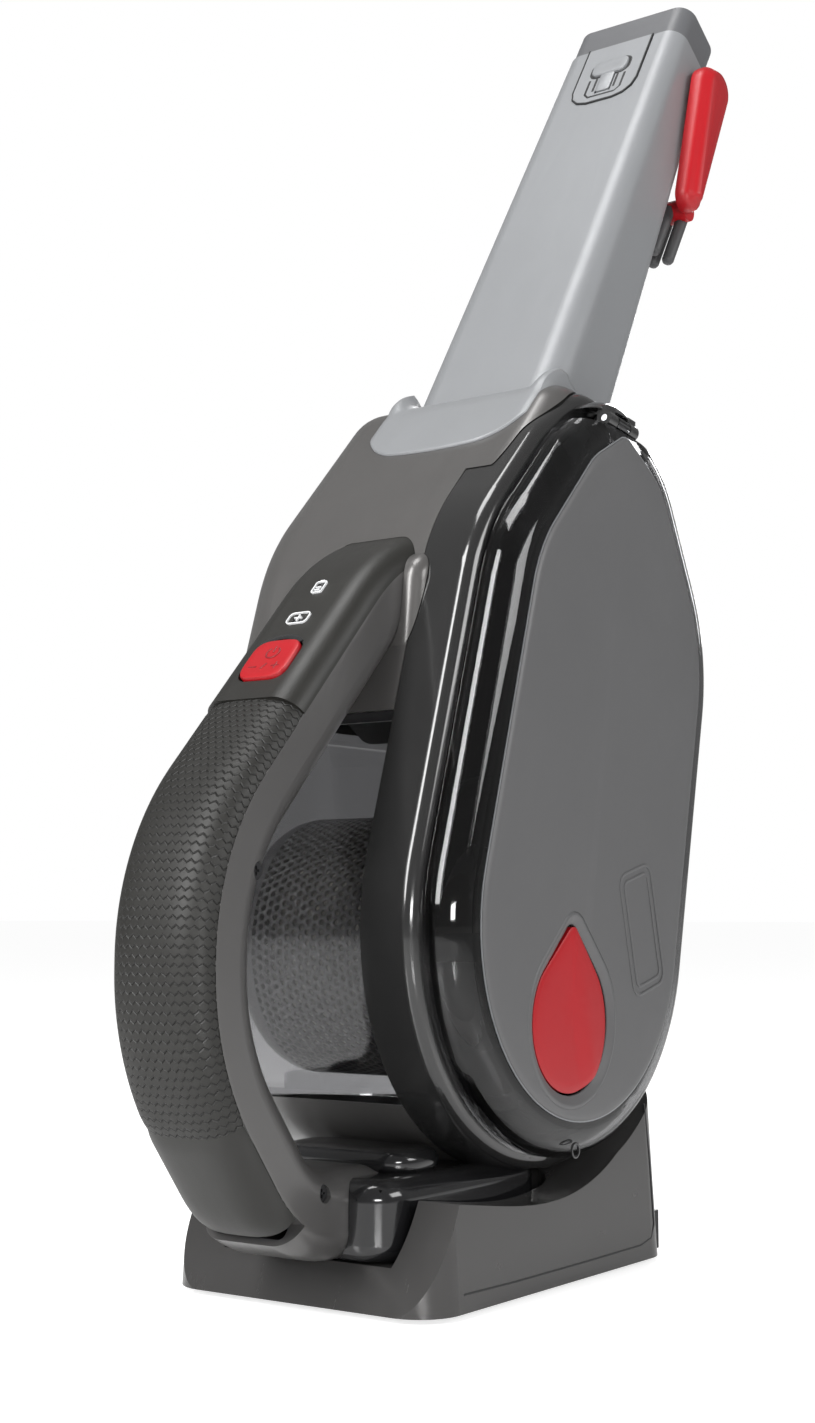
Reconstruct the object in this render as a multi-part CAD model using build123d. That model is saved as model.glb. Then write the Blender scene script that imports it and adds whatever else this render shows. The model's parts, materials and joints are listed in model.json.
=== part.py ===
"""Cordless handheld vacuum standing in its charging base, as separate named pieces.

Millimetres, +Z up.  X runs from the handle (-X) to the nozzle (+X), Y runs across the
vacuum with the opening side door at -Y.  The origin is on the floor under the base.
The vacuum leans in its base: U points up along the nozzle, V points out of its front face.
"""
from build123d import *
import os
from math import sin, cos, radians, pi

os.makedirs("parts", exist_ok=True)

# ---------------------------------------------------------------- driving dimensions
TILT = 32.0            # lean of the nozzle from upright, degrees
WALL = 2.4             # moulded wall thickness
FIT = 0.4              # gap between parts that move past each other

# side outline of the body: the hull of these circles (x, z, radius) is the door panel
DROP = [(14.5, 104.0, 57.5), (37.0, 187.0, 54.0), (42.0, 222.0, 33.0), (42.0, 251.0, 9.0)]
G_DOOR = 10.0          # clear door rim outside the panel
G_FRAME = 14.0         # body frame outside the panel
G_BOWL = 12.0          # clear dust bowl outside the panel
# hood outline: the frame's upper circles and two circles along the front face
HOOD_FRONT = [(-30.0, 148.0, 16.0), (35.5, 257.0, 19.0)]

Y_DOOR = -50.0         # flat outer face of the door
Y_SPLIT = -38.0        # joint between the door and the frame
Y_FRAME = -20.0        # inner face of the frame
Y_LEFT = 49.0          # far side of the bowl and the hood
Z_RIM = 166.0          # lower edge of the hood, top of the bowl
Z_TRAY = 56.0          # top of the lower housing at its front edge
TRAY_FALL = 5.5        # fall of the tray's top edge towards the back, degrees

FILTER_X, FILTER_Z, FILTER_R = 3.0, 98.0, 39.5
FILTER_END = 45.0      # far end of the pre-filter
MOTOR_X, MOTOR_Z = 64.0, 199.0
MOTOR_R, FAN_R = 20.0, 28.0
SHAFT_R = 1.5

NOZZLE_ROOT, NOZZLE_MOUTH = 246.0, 441.0      # along U
T_FRONT = 117.5        # nozzle front face, along V
MOUTH_W, MOUTH_D = 50.0, 27.0
ROOT_W, ROOT_D = 56.0, 39.0
TOOL_W, TOOL_D = 43.0, 21.6
TOOL_TIP, TOOL_TAIL = 456.0, 352.0
TOOL_TRAVEL = 60.0
YOKE_S, YOKE_T = 428.0, 88.0                  # brush pivot, along U and V
YOKE_REACH = 48.0

HANDLE_HALF = 17.0     # half the handle's width
CAVITY_HALF = 12.0     # half the width of the space for the cells
CAVITY_WALL = 2.0      # wall of the handle over the cells
GRIP_DEPTH = 7.0       # how far the soft grip wraps round the handle
CELL_R, CELL_L = 7.0, 48.0

BASE_FRONT, BASE_BACK, BASE_HALF = -61.5, 72.0, 47.0
BASE_TOP = 58.0
FLOOR_GAP = 1.5        # the feet lift the shell this far
SEAT_Z = 13.0          # floor of the cradle

T = radians(TILT)
U = Vector(sin(T), 0, cos(T))
V = Vector(-cos(T), 0, sin(T))


# ---------------------------------------------------------------- helpers
def at(s, t, y=0.0):
    """Point s along the nozzle axis and t out towards its front face."""
    return U * s + V * t + Vector(0, y, 0)


def across(s):
    """Section plane square to the nozzle axis: local x is Y, local y is V."""
    return Plane(origin=U * s, x_dir=(0, 1, 0), z_dir=U)


def hull(circles, grow=0.0):
    edges = [Pos(x, z) * Circle(r + grow) for x, z, r in circles]
    return make_hull([e for c in edges for e in c.edges()])


def slab(sketch, y0, y1):
    """Solid between y0 and y1 with a side outline drawn in X and Z."""
    return extrude(Plane.XZ.offset(-y1) * sketch, y1 - y0)


def box(x0, x1, y0, y1, z0, z1):
    return Pos((x0 + x1) / 2, (y0 + y1) / 2, (z0 + z1) / 2) * Box(x1 - x0, y1 - y0, z1 - z0)


def rod_y(x, z, r, y0, y1):
    return slab(Pos(x, z) * Circle(r), y0, y1)


def tilted_box(s0, s1, t0, t1, y0, y1):
    face = across(s0) * (Pos((y0 + y1) / 2, (t0 + t1) / 2) * Rectangle(y1 - y0, t1 - t0))
    return extrude(face, s1 - s0)


def tilted_block(s0, s1, w, t0, t1, r):
    """Block along the nozzle axis with rounded corners."""
    face = across(s0) * (Pos(0, (t0 + t1) / 2) * RectangleRounded(w, t1 - t0, r))
    return extrude(face, s1 - s0)


def edges_on_y(part, y, tol=0.05):
    return [e for e in part.edges() if abs(e.bounding_box().min.Y - y) < tol
            and abs(e.bounding_box().max.Y - y) < tol]


def rounded_slab(sketch, y0, y1, near=0.0, far=0.0):
    """Slab with rounded rims: near at y0 and far at y1."""
    part = slab(sketch, y0, y1)
    if near:
        part = fillet(edges_on_y(part, y0), near)
    if far:
        part = fillet(edges_on_y(part, y1), far)
    return part


def biggest(part):
    return max(part.solids(), key=lambda s: s.volume)


def save(name, *solids):
    shapes = [s for item in solids for s in item.solids()]
    export_step(shapes[0] if len(shapes) == 1 else Compound(children=shapes),
                "parts/" + name + ".step")


def above(z):
    return box(-300, 300, -200, 200, z, 700)


def tray_space(drop=0.0):
    """Everything above the tray's sloping top edge."""
    return Pos(-56, 0, Z_TRAY - drop) * Rot(0, TRAY_FALL, 0) * box(-200, 300, -200, 200, 0, 600)


# ---------------------------------------------------------------- body shells
def hood_outline(shrink=0.0):
    upper = [(x, z, r + G_FRAME) for x, z, r in DROP[1:3]]
    return hull(HOOD_FRONT + upper, -shrink)


def hood_envelope(shrink, y0, y1, near, far):
    return rounded_slab(hood_outline(shrink), y0, y1, near, far) & above(Z_RIM)


T_REAR = 36.0          # the rear cover is the part of the hood behind this


def rear_space(gap=0.0):
    return tilted_box(-100, 500, -300, T_REAR - gap, -100, 100)


def make_hood():
    shell = hood_envelope(0, -38, Y_LEFT, 9, 14)
    shell -= hood_envelope(WALL, -36, Y_LEFT - WALL, 7, 11)
    shell += make_plateau()
    shell -= slab(hull(DROP, G_FRAME + 0.3), -60, Y_FRAME + 0.2)
    shell -= nozzle_plug(0.15)
    shell -= handle_envelope(0.1)
    return shell


def make_plateau():
    """Raised pad on the hood that takes the upper end of the handle."""
    pad = rounded_slab(hull([(-6, 217, 5), (-23, 204.5, 9.5), (-28, 186, 7)]), -23, 23, 4.5, 4.5)
    return pad - hood_envelope(WALL / 2, -37, Y_LEFT - WALL / 2, 8, 12)


def nozzle_plug(gap):
    """Space that the nozzle root takes in the top of the hood."""
    return tilted_block(218, 300, ROOT_W + 2 * gap, 79 - gap, T_FRONT + 0.5 + gap, 8.6)


def split_hood():
    shell = make_hood()
    rear = shell & rear_space()
    front = shell - rear_space(-0.15)
    slots = [tilted_box(150 + 8 * i, 153.5 + 8 * i, -80, 60, 4, 34) for i in range(9)]
    for slot in slots:
        rear -= slot
    keep = max(front.solids(), key=lambda s: s.volume)
    rear_keep = max(rear.solids(), key=lambda s: s.volume)
    save("front_hood", keep)
    save("rear_cover", rear_keep)


def make_bulkhead():
    """Floor of the motor chamber, with the duct passing through it."""
    plate = slab(hull(DROP, G_BOWL - 0.5), Y_FRAME + 0.2, Y_LEFT - 3.2)
    plate &= box(-300, 300, -200, 200, Z_RIM - 3.0, Z_RIM - 0.2)
    return plate - tilted_box(90, 240, 84, 115, -21, 21)


def make_frame():
    """Side frame that carries the door, the filter plate and the fan inlet."""
    frame = rounded_slab(hull(DROP, G_FRAME), Y_SPLIT, Y_FRAME, 4, 0)
    frame -= slab(hull(DROP, G_FRAME - 8), Y_SPLIT - 1, Y_FRAME - 2.6)
    frame -= rod_y(FILTER_X + 2, FILTER_Z + 1, 50.0, -60, 0)
    frame -= rod_y(MOTOR_X, MOTOR_Z, 13.0, -60, 0)
    frame -= tilted_block(236, 300, ROOT_W + 0.6, T_FRONT - ROOT_D - 0.4, T_FRONT + 3, 8)
    return biggest(frame)


def make_bowl():
    """Clear drum with a closed far side, open towards the frame."""
    outer = rounded_slab(hull(DROP, G_BOWL), Y_FRAME + 0.2, Y_LEFT + 1, 0, 13)
    inner = rounded_slab(hull(DROP, G_BOWL - 2.2), Y_FRAME - 1, Y_LEFT - 1.2, 0, 11)
    bowl = (outer - inner) & tray_space(-0.2)
    bowl -= above(Z_RIM - 3.2)
    return max(bowl.solids(), key=lambda s: s.volume)


def make_tray():
    """Lower housing under the bowl, with the rounded front bar."""
    outer = rounded_slab(hull(DROP, G_FRAME - 0.2), Y_FRAME + 0.2, Y_LEFT + 1, 0, 13)
    inner = rounded_slab(hull(DROP, G_FRAME - 3.2), Y_FRAME - 1, Y_LEFT - 2, 0, 10)
    tray = (outer - inner) - tray_space()
    tray -= foot_envelope(0.1)
    tray -= handle_envelope(0.1)
    return max(tray.solids(), key=lambda s: s.volume)


def make_ledge():
    """Glossy catch under the front bar."""
    ledge = box(-41, -22, -24, 24, 34.6, 42)
    ledge = fillet(ledge.edges().filter_by(Axis.Z), 5)
    ledge = fillet(ledge.edges().group_by(Axis.Z)[-1], 2)
    ledge -= slab(hull(DROP, G_FRAME), -60, 60)
    ledge -= handle_envelope(0.1)
    ledge -= foot_envelope(0.1)
    return max(ledge.solids(), key=lambda s: s.volume)


def foot_envelope(gap):
    """Rounded foot that stands in the base."""
    foot = box(-58 - gap, 26 + gap, -29 - gap, 29 + gap, SEAT_Z + 0.2 - gap, 35.5 + gap)
    foot = fillet(foot.edges().filter_by(Axis.Z), 12)
    return fillet(foot.edges().group_by(Axis.Z)[0], 5)


def make_foot():
    foot = foot_envelope(0)
    foot = fillet(foot.edges().group_by(Axis.Z)[-1], 6)
    foot -= box(-54, 22, -25, 25, SEAT_Z + 3, 33)
    foot -= handle_envelope(0.1)
    foot -= slab(hull(DROP, G_FRAME - 3.4), -60, 60)
    foot -= rounded_slab(hull(DROP, G_FRAME), Y_SPLIT - 20, Y_FRAME + 0.2, 0, 0)
    for y in CONTACT_Y:
        foot -= box(CONTACT_X - 5.1, CONTACT_X + 5.1, y - 4.1, y + 4.1, 0, SEAT_Z + 2)
    return max(foot.solids(), key=lambda s: s.volume)


# ---------------------------------------------------------------- handle
ROUTE = [(-12, 211.5), (-33, 202.5), (-108.5, 122), (-108.5, 71), (-74, 25.6), (-22, 25.6)]
BENDS = [60, 66, 66, 33]               # radii of the route's corners
LOOP_W, LOOP_D = 2 * HANDLE_HALF, 24.0
HANDLE_SCREWS = [(-96.5, 119), (-68, 33)]
PANEL_CUT = (-84, 167, 0.66, 0.75)     # seam between control panel and grip
PAD_CUT = (-107, 50, -0.5, 0.87)       # seam between grip and lower pad
PAD_END = (-80, 22, -0.78, 0.63)       # lower end of the pad


def along_loop(sketch):
    """Sweep a section down the handle; its local y points into the loop."""
    path = FilletPolyline(*[(x, 0, z) for x, z in ROUTE], radius=BENDS)
    start = Plane(origin=path @ 0, x_dir=(0, 1, 0), z_dir=path % 0)
    return sweep(start * sketch, path=path)


def handle_envelope(gap=0.0):
    return along_loop(RectangleRounded(LOOP_W + 2 * gap, LOOP_D + 2 * gap, 8))


def outer_band():
    """Region of the handle section that the soft cover takes."""
    return along_loop(Pos(0, -LOOP_D / 2 + GRIP_DEPTH / 2 - 1) * Rectangle(LOOP_W + 2, GRIP_DEPTH + 2))


def cell_cavity():
    return along_loop(RectangleRounded(2 * CAVITY_HALF, LOOP_D - 2 * CAVITY_WALL, 2))


def beyond(x, z, dx, dz):
    """Half space on the (dx, dz) side of a cut through (x, z)."""
    cut = Plane(origin=(x, 0, z), x_dir=(0, 1, 0), z_dir=(dx, 0, dz))
    return cut * Pos(0, 0, 200) * Box(120, 600, 400)


def make_handle():
    solid = handle_envelope()
    cavity = cell_cavity()
    band = outer_band() & beyond(*PAD_END)
    cover = solid & band
    core = solid - band - cavity
    core -= button_well()
    for x, z in HANDLE_SCREWS:
        core -= rod_y(x, z, 2.5, -20, -13.5)
        core -= rod_y(x, z, 1.25, -20, -9)
    save("handle_right", biggest(core & box(-200, 50, -20, -0.02, 0, 300)))
    save("handle_left", biggest(core & box(-200, 50, 0.02, 20, 0, 300)))
    cover -= cavity
    panel = cover & beyond(*PANEL_CUT)
    grip = (cover - beyond(*PANEL_CUT)) & beyond(*PAD_CUT)
    pad = cover - beyond(*PANEL_CUT) - beyond(*PAD_CUT)
    panel -= button_well()
    for x, z in ICONS:
        panel -= icon_rod(x, z, 2.05)
    save("control_panel", biggest(panel))
    save("grip_cover", biggest(grip))
    save("lower_pad", biggest(pad))


CONTACT_X, CONTACT_Y = -6.0, (-12.0, 12.0)     # charging contacts under the foot


# ---------------------------------------------------------------- controls on the handle
PRESS = (sin(radians(47)), -cos(radians(47)))      # inward normal of the control panel
BUTTON = (-72.5, 178.4)                            # button centre on the outer face
ICONS = [(-60.1, 191.8), (-50.5, 202.1)]
BUTTON_TRAVEL = 1.2


def panel_plane(x, z, depth=0.0):
    """Plane facing out of the control panel at a point of its outer face."""
    origin = (x + PRESS[0] * depth, 0, z + PRESS[1] * depth)
    return Plane(origin=origin, x_dir=(0, 1, 0), z_dir=(-PRESS[0], 0, -PRESS[1]))


def button_well():
    face = panel_plane(*BUTTON, 8) * RectangleRounded(17.2, 17.2, 4.3)
    return extrude(face, 14)


def icon_rod(x, z, r):
    return extrude(panel_plane(x, z, 6) * Circle(r), 5.6)


def make_controls():
    cap = extrude(panel_plane(*BUTTON, 4.4) * RectangleRounded(16.4, 16.4, 4), 4.9)
    cap = fillet(cap.faces().sort_by(lambda f: f.center().X)[0].edges(), 1.2)
    save("power_button", cap)
    lenses = [extrude(panel_plane(x, z, 4.0) * Circle(2.0), 3.4) for x, z in ICONS]
    save("indicator_lenses", *lenses)
    board = extrude(panel_plane(-60.5, 190, 10.6) * Rectangle(20, 44), 1.4)
    save("control_board", board)
    switch = extrude(panel_plane(*BUTTON, 9.1) * RectangleRounded(8, 8, 1), 2.6)
    plunger = extrude(panel_plane(*BUTTON, 6.5) * Circle(1.6), 0.6)
    save("power_switch", switch + plunger)


# middle of each cell and the direction of its axis, from the top of the loop down
CELLS = [((-85.9, 146.4), (0.68, 0.73)), ((-106.2, 96.5), (0.0, 1.0)), ((-89.0, 47.8), (-0.605, 0.796))]


def cell(mid, axis, r, length):
    plane = Plane(origin=(mid[0], 0, mid[1]), x_dir=(0, 1, 0), z_dir=(axis[0], 0, axis[1]))
    return plane * Cylinder(r, length)


def make_battery():
    save("battery_cells", *[fillet(cell(*place, CELL_R, CELL_L).edges(), 0.8) for place in CELLS])
    links = []
    for (mid, axis), (low, way) in zip(CELLS, CELLS[1:]):
        half = CELL_L / 2
        x = (mid[0] - axis[0] * half + low[0] + way[0] * half) / 2
        z = (mid[1] - axis[1] * half + low[1] + way[1] * half) / 2
        links.append(cell((x, z), (axis[0] + way[0], axis[1] + way[1]), 2.6, 0.8))
    save("cell_links", *links)


# ---------------------------------------------------------------- nozzle and its tools
def make_nozzle():
    root = across(NOZZLE_ROOT) * (Pos(0, T_FRONT - ROOT_D / 2) * RectangleRounded(ROOT_W, ROOT_D, 9))
    mouth = across(NOZZLE_MOUTH) * (Pos(0, T_FRONT - MOUTH_D / 2) * RectangleRounded(MOUTH_W, MOUTH_D, 7))
    outer = loft([root, mouth], ruled=True)
    low = across(NOZZLE_ROOT - 1) * (Pos(0, 98.5) * RectangleRounded(ROOT_W - 6, ROOT_D - 6, 6))
    neck = across(TOOL_TAIL - 6) * (Pos(0, TOOL_T) * RectangleRounded(TOOL_W - 3, TOOL_D - 3, 4))
    throat = loft([low, neck], ruled=True)
    bore = tilted_block(TOOL_TAIL - 6, 500, TOOL_W + FIT, TOOL_T - TOOL_D / 2 - FIT / 2,
                        TOOL_T + TOOL_D / 2 + FIT / 2, 4.2)
    nozzle = outer - throat - bore
    nozzle -= latch_window(0.15)
    nozzle -= button_shape(0.4, 6.0)
    for side in (-1, 1):
        nozzle -= pivot_bore(side)
    save("nozzle", biggest(nozzle))


TOOL_T = 103.6          # middle of the crevice tool, along V
PANEL_S0, PANEL_W = 407.0, 27.0


def latch_window(gap):
    """U-shaped window in the nozzle's front face for the latch panel."""
    front = Plane(origin=at(0, T_FRONT + 2), x_dir=(0, 1, 0), z_dir=V)
    # local y of this plane runs down the nozzle
    long = NOZZLE_MOUTH + 1 - PANEL_S0
    mid = (NOZZLE_MOUTH + 1 + PANEL_S0) / 2
    outline = Pos(0, -mid) * RectangleRounded(PANEL_W + 2 * gap, long + 2 * gap, 9)
    outline += Pos(0, -NOZZLE_MOUTH) * Rectangle(PANEL_W + 2 * gap, 20)
    return extrude(front * outline, -3.4)


def latch_panel_solid():
    window = latch_window(0)
    panel = window & tilted_box(PANEL_S0 - 2, NOZZLE_MOUTH - 0.3, T_FRONT - 1.3, T_FRONT + 0.5, -20, 20)
    return panel - button_shape(0.35, 2.0)


def button_shape(gap, depth=1.25):
    """T-shaped release button: a rounded pad on a stem."""
    front = Plane(origin=at(0, T_FRONT - depth), x_dir=(0, 1, 0), z_dir=V)
    pad = Pos(0, -426) * RectangleRounded(15 + 2 * gap, 8 + 2 * gap, 3)
    stem = Pos(0, -418) * Rectangle(6 + 2 * gap, 12 + 2 * gap)
    return extrude(front * (pad + stem), depth + 1.65)


def make_nozzle_tools():
    save("latch_panel", biggest(latch_panel_solid()))
    save("crevice_button", biggest(button_shape(0)))
    t0, t1 = TOOL_T - TOOL_D / 2, TOOL_T + TOOL_D / 2
    tube = tilted_block(TOOL_TAIL, TOOL_TIP - 6, TOOL_W, t0, t1, 4)
    head = tilted_block(NOZZLE_MOUTH + 0.4, TOOL_TIP, MOUTH_W - 1.0, T_FRONT - MOUTH_D + 0.6,
                        T_FRONT - 0.6, 6.6)
    tube += head
    tube -= tilted_block(TOOL_TAIL - 5, TOOL_TIP + 5, TOOL_W - 3.6, t0 + 1.8, t1 - 3.6, 3)
    tube -= tilted_box(TOOL_TAIL - 5, 434, t1 - 1.9, t1 + 5, -8.5, 8.5)
    save("crevice_tool", biggest(tube))


def pivot_bore(side, extra=0.0):
    y0, y1 = sorted((side * 20, side * 30.5))
    face = Plane.XZ.offset(-y1) * (Pos(at(YOKE_S, YOKE_T + 7).X, at(YOKE_S, YOKE_T + 7).Z)
                                   * Circle(2.0 + extra))
    return extrude(face, y1 - y0)


def make_brush():
    """Flip-up brush: yoke, pivots and bristle rods."""
    arms = []
    for side in (-1, 1):
        y0, y1 = sorted((side * ARM_IN, side * ARM_OUT))
        lobe = at(YOKE_S, YOKE_T + 7)
        tail = at(YOKE_S - YOKE_REACH, YOKE_T - 1)
        outline = hull([(lobe.X, lobe.Z, 8.0), (tail.X, tail.Z, 6.0)])
        arm = slab(outline, y0, y1)
        arm -= pivot_bore(side, 0.05)
        arms.append(arm)
    tail = at(YOKE_S - YOKE_REACH, BAR_T)
    bar = rod_y(tail.X, tail.Z, BAR_R, -ARM_OUT, ARM_OUT)
    yoke = arms[0] + arms[1] + bar
    holes = [Plane(origin=p, x_dir=(0, 1, 0), z_dir=U) * Cylinder(BRISTLE_R, BRISTLE_L + 0.02,
             align=(Align.CENTER, Align.CENTER, Align.MAX)) for p in bristle_places()]
    for hole in holes:
        yoke -= hole
    save("brush_yoke", biggest(yoke))
    save("bristle_rods", *[Plane(origin=p, x_dir=(0, 1, 0), z_dir=U) * Cylinder(BRISTLE_R, BRISTLE_L,
         align=(Align.CENTER, Align.CENTER, Align.MAX)) for p in bristle_places()])
    pins = []
    for side in (-1, 1):
        y0, y1 = sorted((side * 23.2, side * 30.4))
        p = at(YOKE_S, YOKE_T + 7)
        pins.append(rod_y(p.X, p.Z, 1.96, y0, y1))
    save("yoke_pivots", *pins)


ARM_IN, ARM_OUT = 26.7, 31.0
BAR_T, BAR_R = 80.5, 4.4
BRISTLE_R, BRISTLE_L = 1.5, 26.0
BRISTLES_PER_ROW = 9


def bristle_places():
    """Roots of the bristle rods, just inside the lower side of the bar."""
    pitch = 52.0 / (BRISTLES_PER_ROW - 1)
    rows = [(-1.7, 0.0), (1.9, 0.5)]
    return [at(YOKE_S - YOKE_REACH - 1.6, BAR_T + dt, -26 + pitch * (i + shift * 0.9))
            for dt, shift in rows for i in range(BRISTLES_PER_ROW - (1 if shift else 0))]


def make_collar():
    """Light skirt that joins the nozzle to the hood."""
    low = across(219) * (Pos(0, 101.5) * RectangleRounded(62, 47, 14))
    high = across(262) * (Pos(0, 98.6) * RectangleRounded(57.6, 41.6, 9.6))
    collar = loft([low, high], ruled=True)
    collar -= tilted_block(210, 300, ROOT_W + 0.2, T_FRONT - ROOT_D - 0.1, T_FRONT + 0.1, 9)
    collar -= tilted_box(200, 238, 0, T_FRONT + 1.0, -60, 60)
    hollow = hood_envelope(-0.12, -38, Y_LEFT, 9, 14)
    collar -= hollow
    collar -= slab(hull(DROP, G_FRAME + 0.2), -60, Y_FRAME + 0.2)
    save("nozzle_collar", biggest(collar))


def duct_envelope(gap=0.0):
    top = across(DUCT_TOP) * (Pos(0, 99) * RectangleRounded(38.5 + 2 * gap, 28 + 2 * gap, 6))
    low = across(DUCT_LOW) * (Pos(0, 99) * RectangleRounded(37 + 2 * gap, 25 + 2 * gap, 4))
    return loft([top, low], ruled=True)


DUCT_TOP, DUCT_LOW = 240.0, 136.0


def make_duct():
    bore_top = across(DUCT_TOP + 1) * (Pos(0, 99) * RectangleRounded(34.5, 24, 4))
    bore_low = across(DUCT_LOW - 1) * (Pos(0, 99) * RectangleRounded(33, 21, 3))
    duct = duct_envelope() - loft([bore_top, bore_low], ruled=True)
    save("inlet_duct", duct)
    face = across(DUCT_LOW - 1.6) * (Pos(0, 99) * RectangleRounded(36, 24, 3))
    save("inlet_flap", extrude(face, 1.2))


# ---------------------------------------------------------------- filter, fan and motor
def make_filter():
    mesh = rounded_slab(Pos(FILTER_X, FILTER_Z) * Circle(FILTER_R), -16, FILTER_END, 0, 8)
    mesh -= rounded_slab(Pos(FILTER_X, FILTER_Z) * Circle(FILTER_R - 1.4), -17, FILTER_END - 1.4, 0, 6.6)
    save("prefilter_mesh", mesh)
    plate = rod_y(FILTER_X + 2, FILTER_Z + 1, 55.0, -19.8, -16.0)
    plate += rod_y(FILTER_X + 2, FILTER_Z + 1, 49.6, -23.4, -19.8)
    plate -= rod_y(FILTER_X, FILTER_Z, 30.0, -30, 0)
    handle = box(FILTER_X - 31, FILTER_X + 31, -23.4, -20.0, FILTER_Z - 4, FILTER_Z + 4)
    save("filter_plate", plate + handle)
    pleats = Plane.XZ.offset(15.8) * (Pos(FILTER_X, FILTER_Z) * pleat_outline())
    save("pleated_filter", extrude(pleats, -(FILTER_END - 10 + 15.8)))
    save("filter_cap", rod_y(FILTER_X, FILTER_Z, 31.0, FILTER_END - 9.9, FILTER_END - 6.5))
    gasket = rod_y(FILTER_X + 2, FILTER_Z + 1, 49.5, -26.0, -23.5)
    gasket -= rod_y(FILTER_X + 2, FILTER_Z + 1, 45.0, -30, 0)
    save("filter_gasket", gasket)


PLEATS = 24


def pleat_outline():
    points = []
    for i in range(2 * PLEATS):
        r = 34.0 if i % 2 == 0 else 27.0
        a = pi * i / PLEATS
        points.append((r * cos(a), r * sin(a)))
    return Polygon(*points, align=None) - Circle(22)


def make_motor():
    x, z = MOTOR_X, MOTOR_Z
    housing = rod_y(x, z, FAN_R + 4, -17.2, 0.0) - rod_y(x, z, FAN_R + 1.5, -15.2, 1)
    housing -= rod_y(x, z, 13.0, -30, 0)
    for k in range(8):
        a = radians(45 * k)
        housing -= Pos(x + (FAN_R + 3) * cos(a), -6, z + (FAN_R + 3) * sin(a)) * Rot(0, -45 * k, 0) * Box(8, 6, 9)
    save("fan_housing", biggest(housing))
    disc = rod_y(x, z, FAN_R, -3.6, -2.2)
    hub = rod_y(x, z, 5.0, -12.0, -2.2)
    fan = disc + hub
    for k in range(9):
        blade = Pos(16.5, -8, 0) * Rot(0, 22, 0) * Box(19, 9.6, 1.2)
        fan += Pos(x, 0, z) * Rot(0, 40 * k, 0) * blade
    fan -= rod_y(x, z, SHAFT_R, -20, 0)
    save("fan_impeller", biggest(fan))
    save("motor_shaft", rod_y(x, z, SHAFT_R, -13.0, 42.0))
    can = rod_y(x, z, MOTOR_R, 1.0, 38.0) - rod_y(x, z, MOTOR_R - 1.2, 2.2, 36.8)
    can -= rod_y(x, z, 5.0, 0, 50)
    save("motor_can", can)
    rotor = rod_y(x, z, 12.0, 8.0, 30.0) - rod_y(x, z, SHAFT_R, 0, 50)
    save("motor_rotor", rotor)
    bushes = [rod_y(x, z, 5.0, y0, y1) - rod_y(x, z, SHAFT_R + 0.04, 0, 60)
              for y0, y1 in ((0.9, 4.4), (35.0, 39.5))]
    save("motor_bushes", *bushes)
    mount = rod_y(x, z, MOTOR_R + 4, 14.0, 24.0) - rod_y(x, z, MOTOR_R + 0.05, 10, 30)
    save("motor_mount", mount)


# ---------------------------------------------------------------- side door
HINGE_X, HINGE_Z, HINGE_Y = 42.5, 262.0, -47.4
HINGE_R, PIN_R = 2.6, 1.1
HINGE_TURN = 6.0       # slope of the hinge line in the side view, degrees


def hinge_frame():
    """Plane of the door at its hinge: x along the pin, z up the door."""
    a = radians(HINGE_TURN)
    return Plane(origin=(HINGE_X, HINGE_Y, HINGE_Z), x_dir=(cos(a), 0, -sin(a)),
                 z_dir=(sin(a), 0, cos(a)))


def hinge_box(x0, x1, y0, y1, z0, z1):
    """Box in the hinge's own directions; y is across the vacuum, towards the door."""
    return hinge_frame() * box(x0, x1, y0, y1, z0, z1)


def hinge_rod(x0, x1, r):
    a = radians(HINGE_TURN)
    start = Vector(HINGE_X, HINGE_Y, HINGE_Z) + Vector(cos(a), 0, -sin(a)) * x0
    line = Plane(origin=start, x_dir=(0, 1, 0), z_dir=(cos(a), 0, -sin(a)))
    return extrude(line * Circle(r), x1 - x0)


def cover_blank():
    """Clear side cover with its rounded shoulder."""
    outer = rounded_slab(hull(DROP, G_DOOR), Y_DOOR, Y_SPLIT - 0.2, 8.5, 0)
    inner = rounded_slab(hull(DROP, G_DOOR - 2.4), Y_DOOR + 2.4, Y_SPLIT + 1, 6.3, 0)
    return outer - inner


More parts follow.
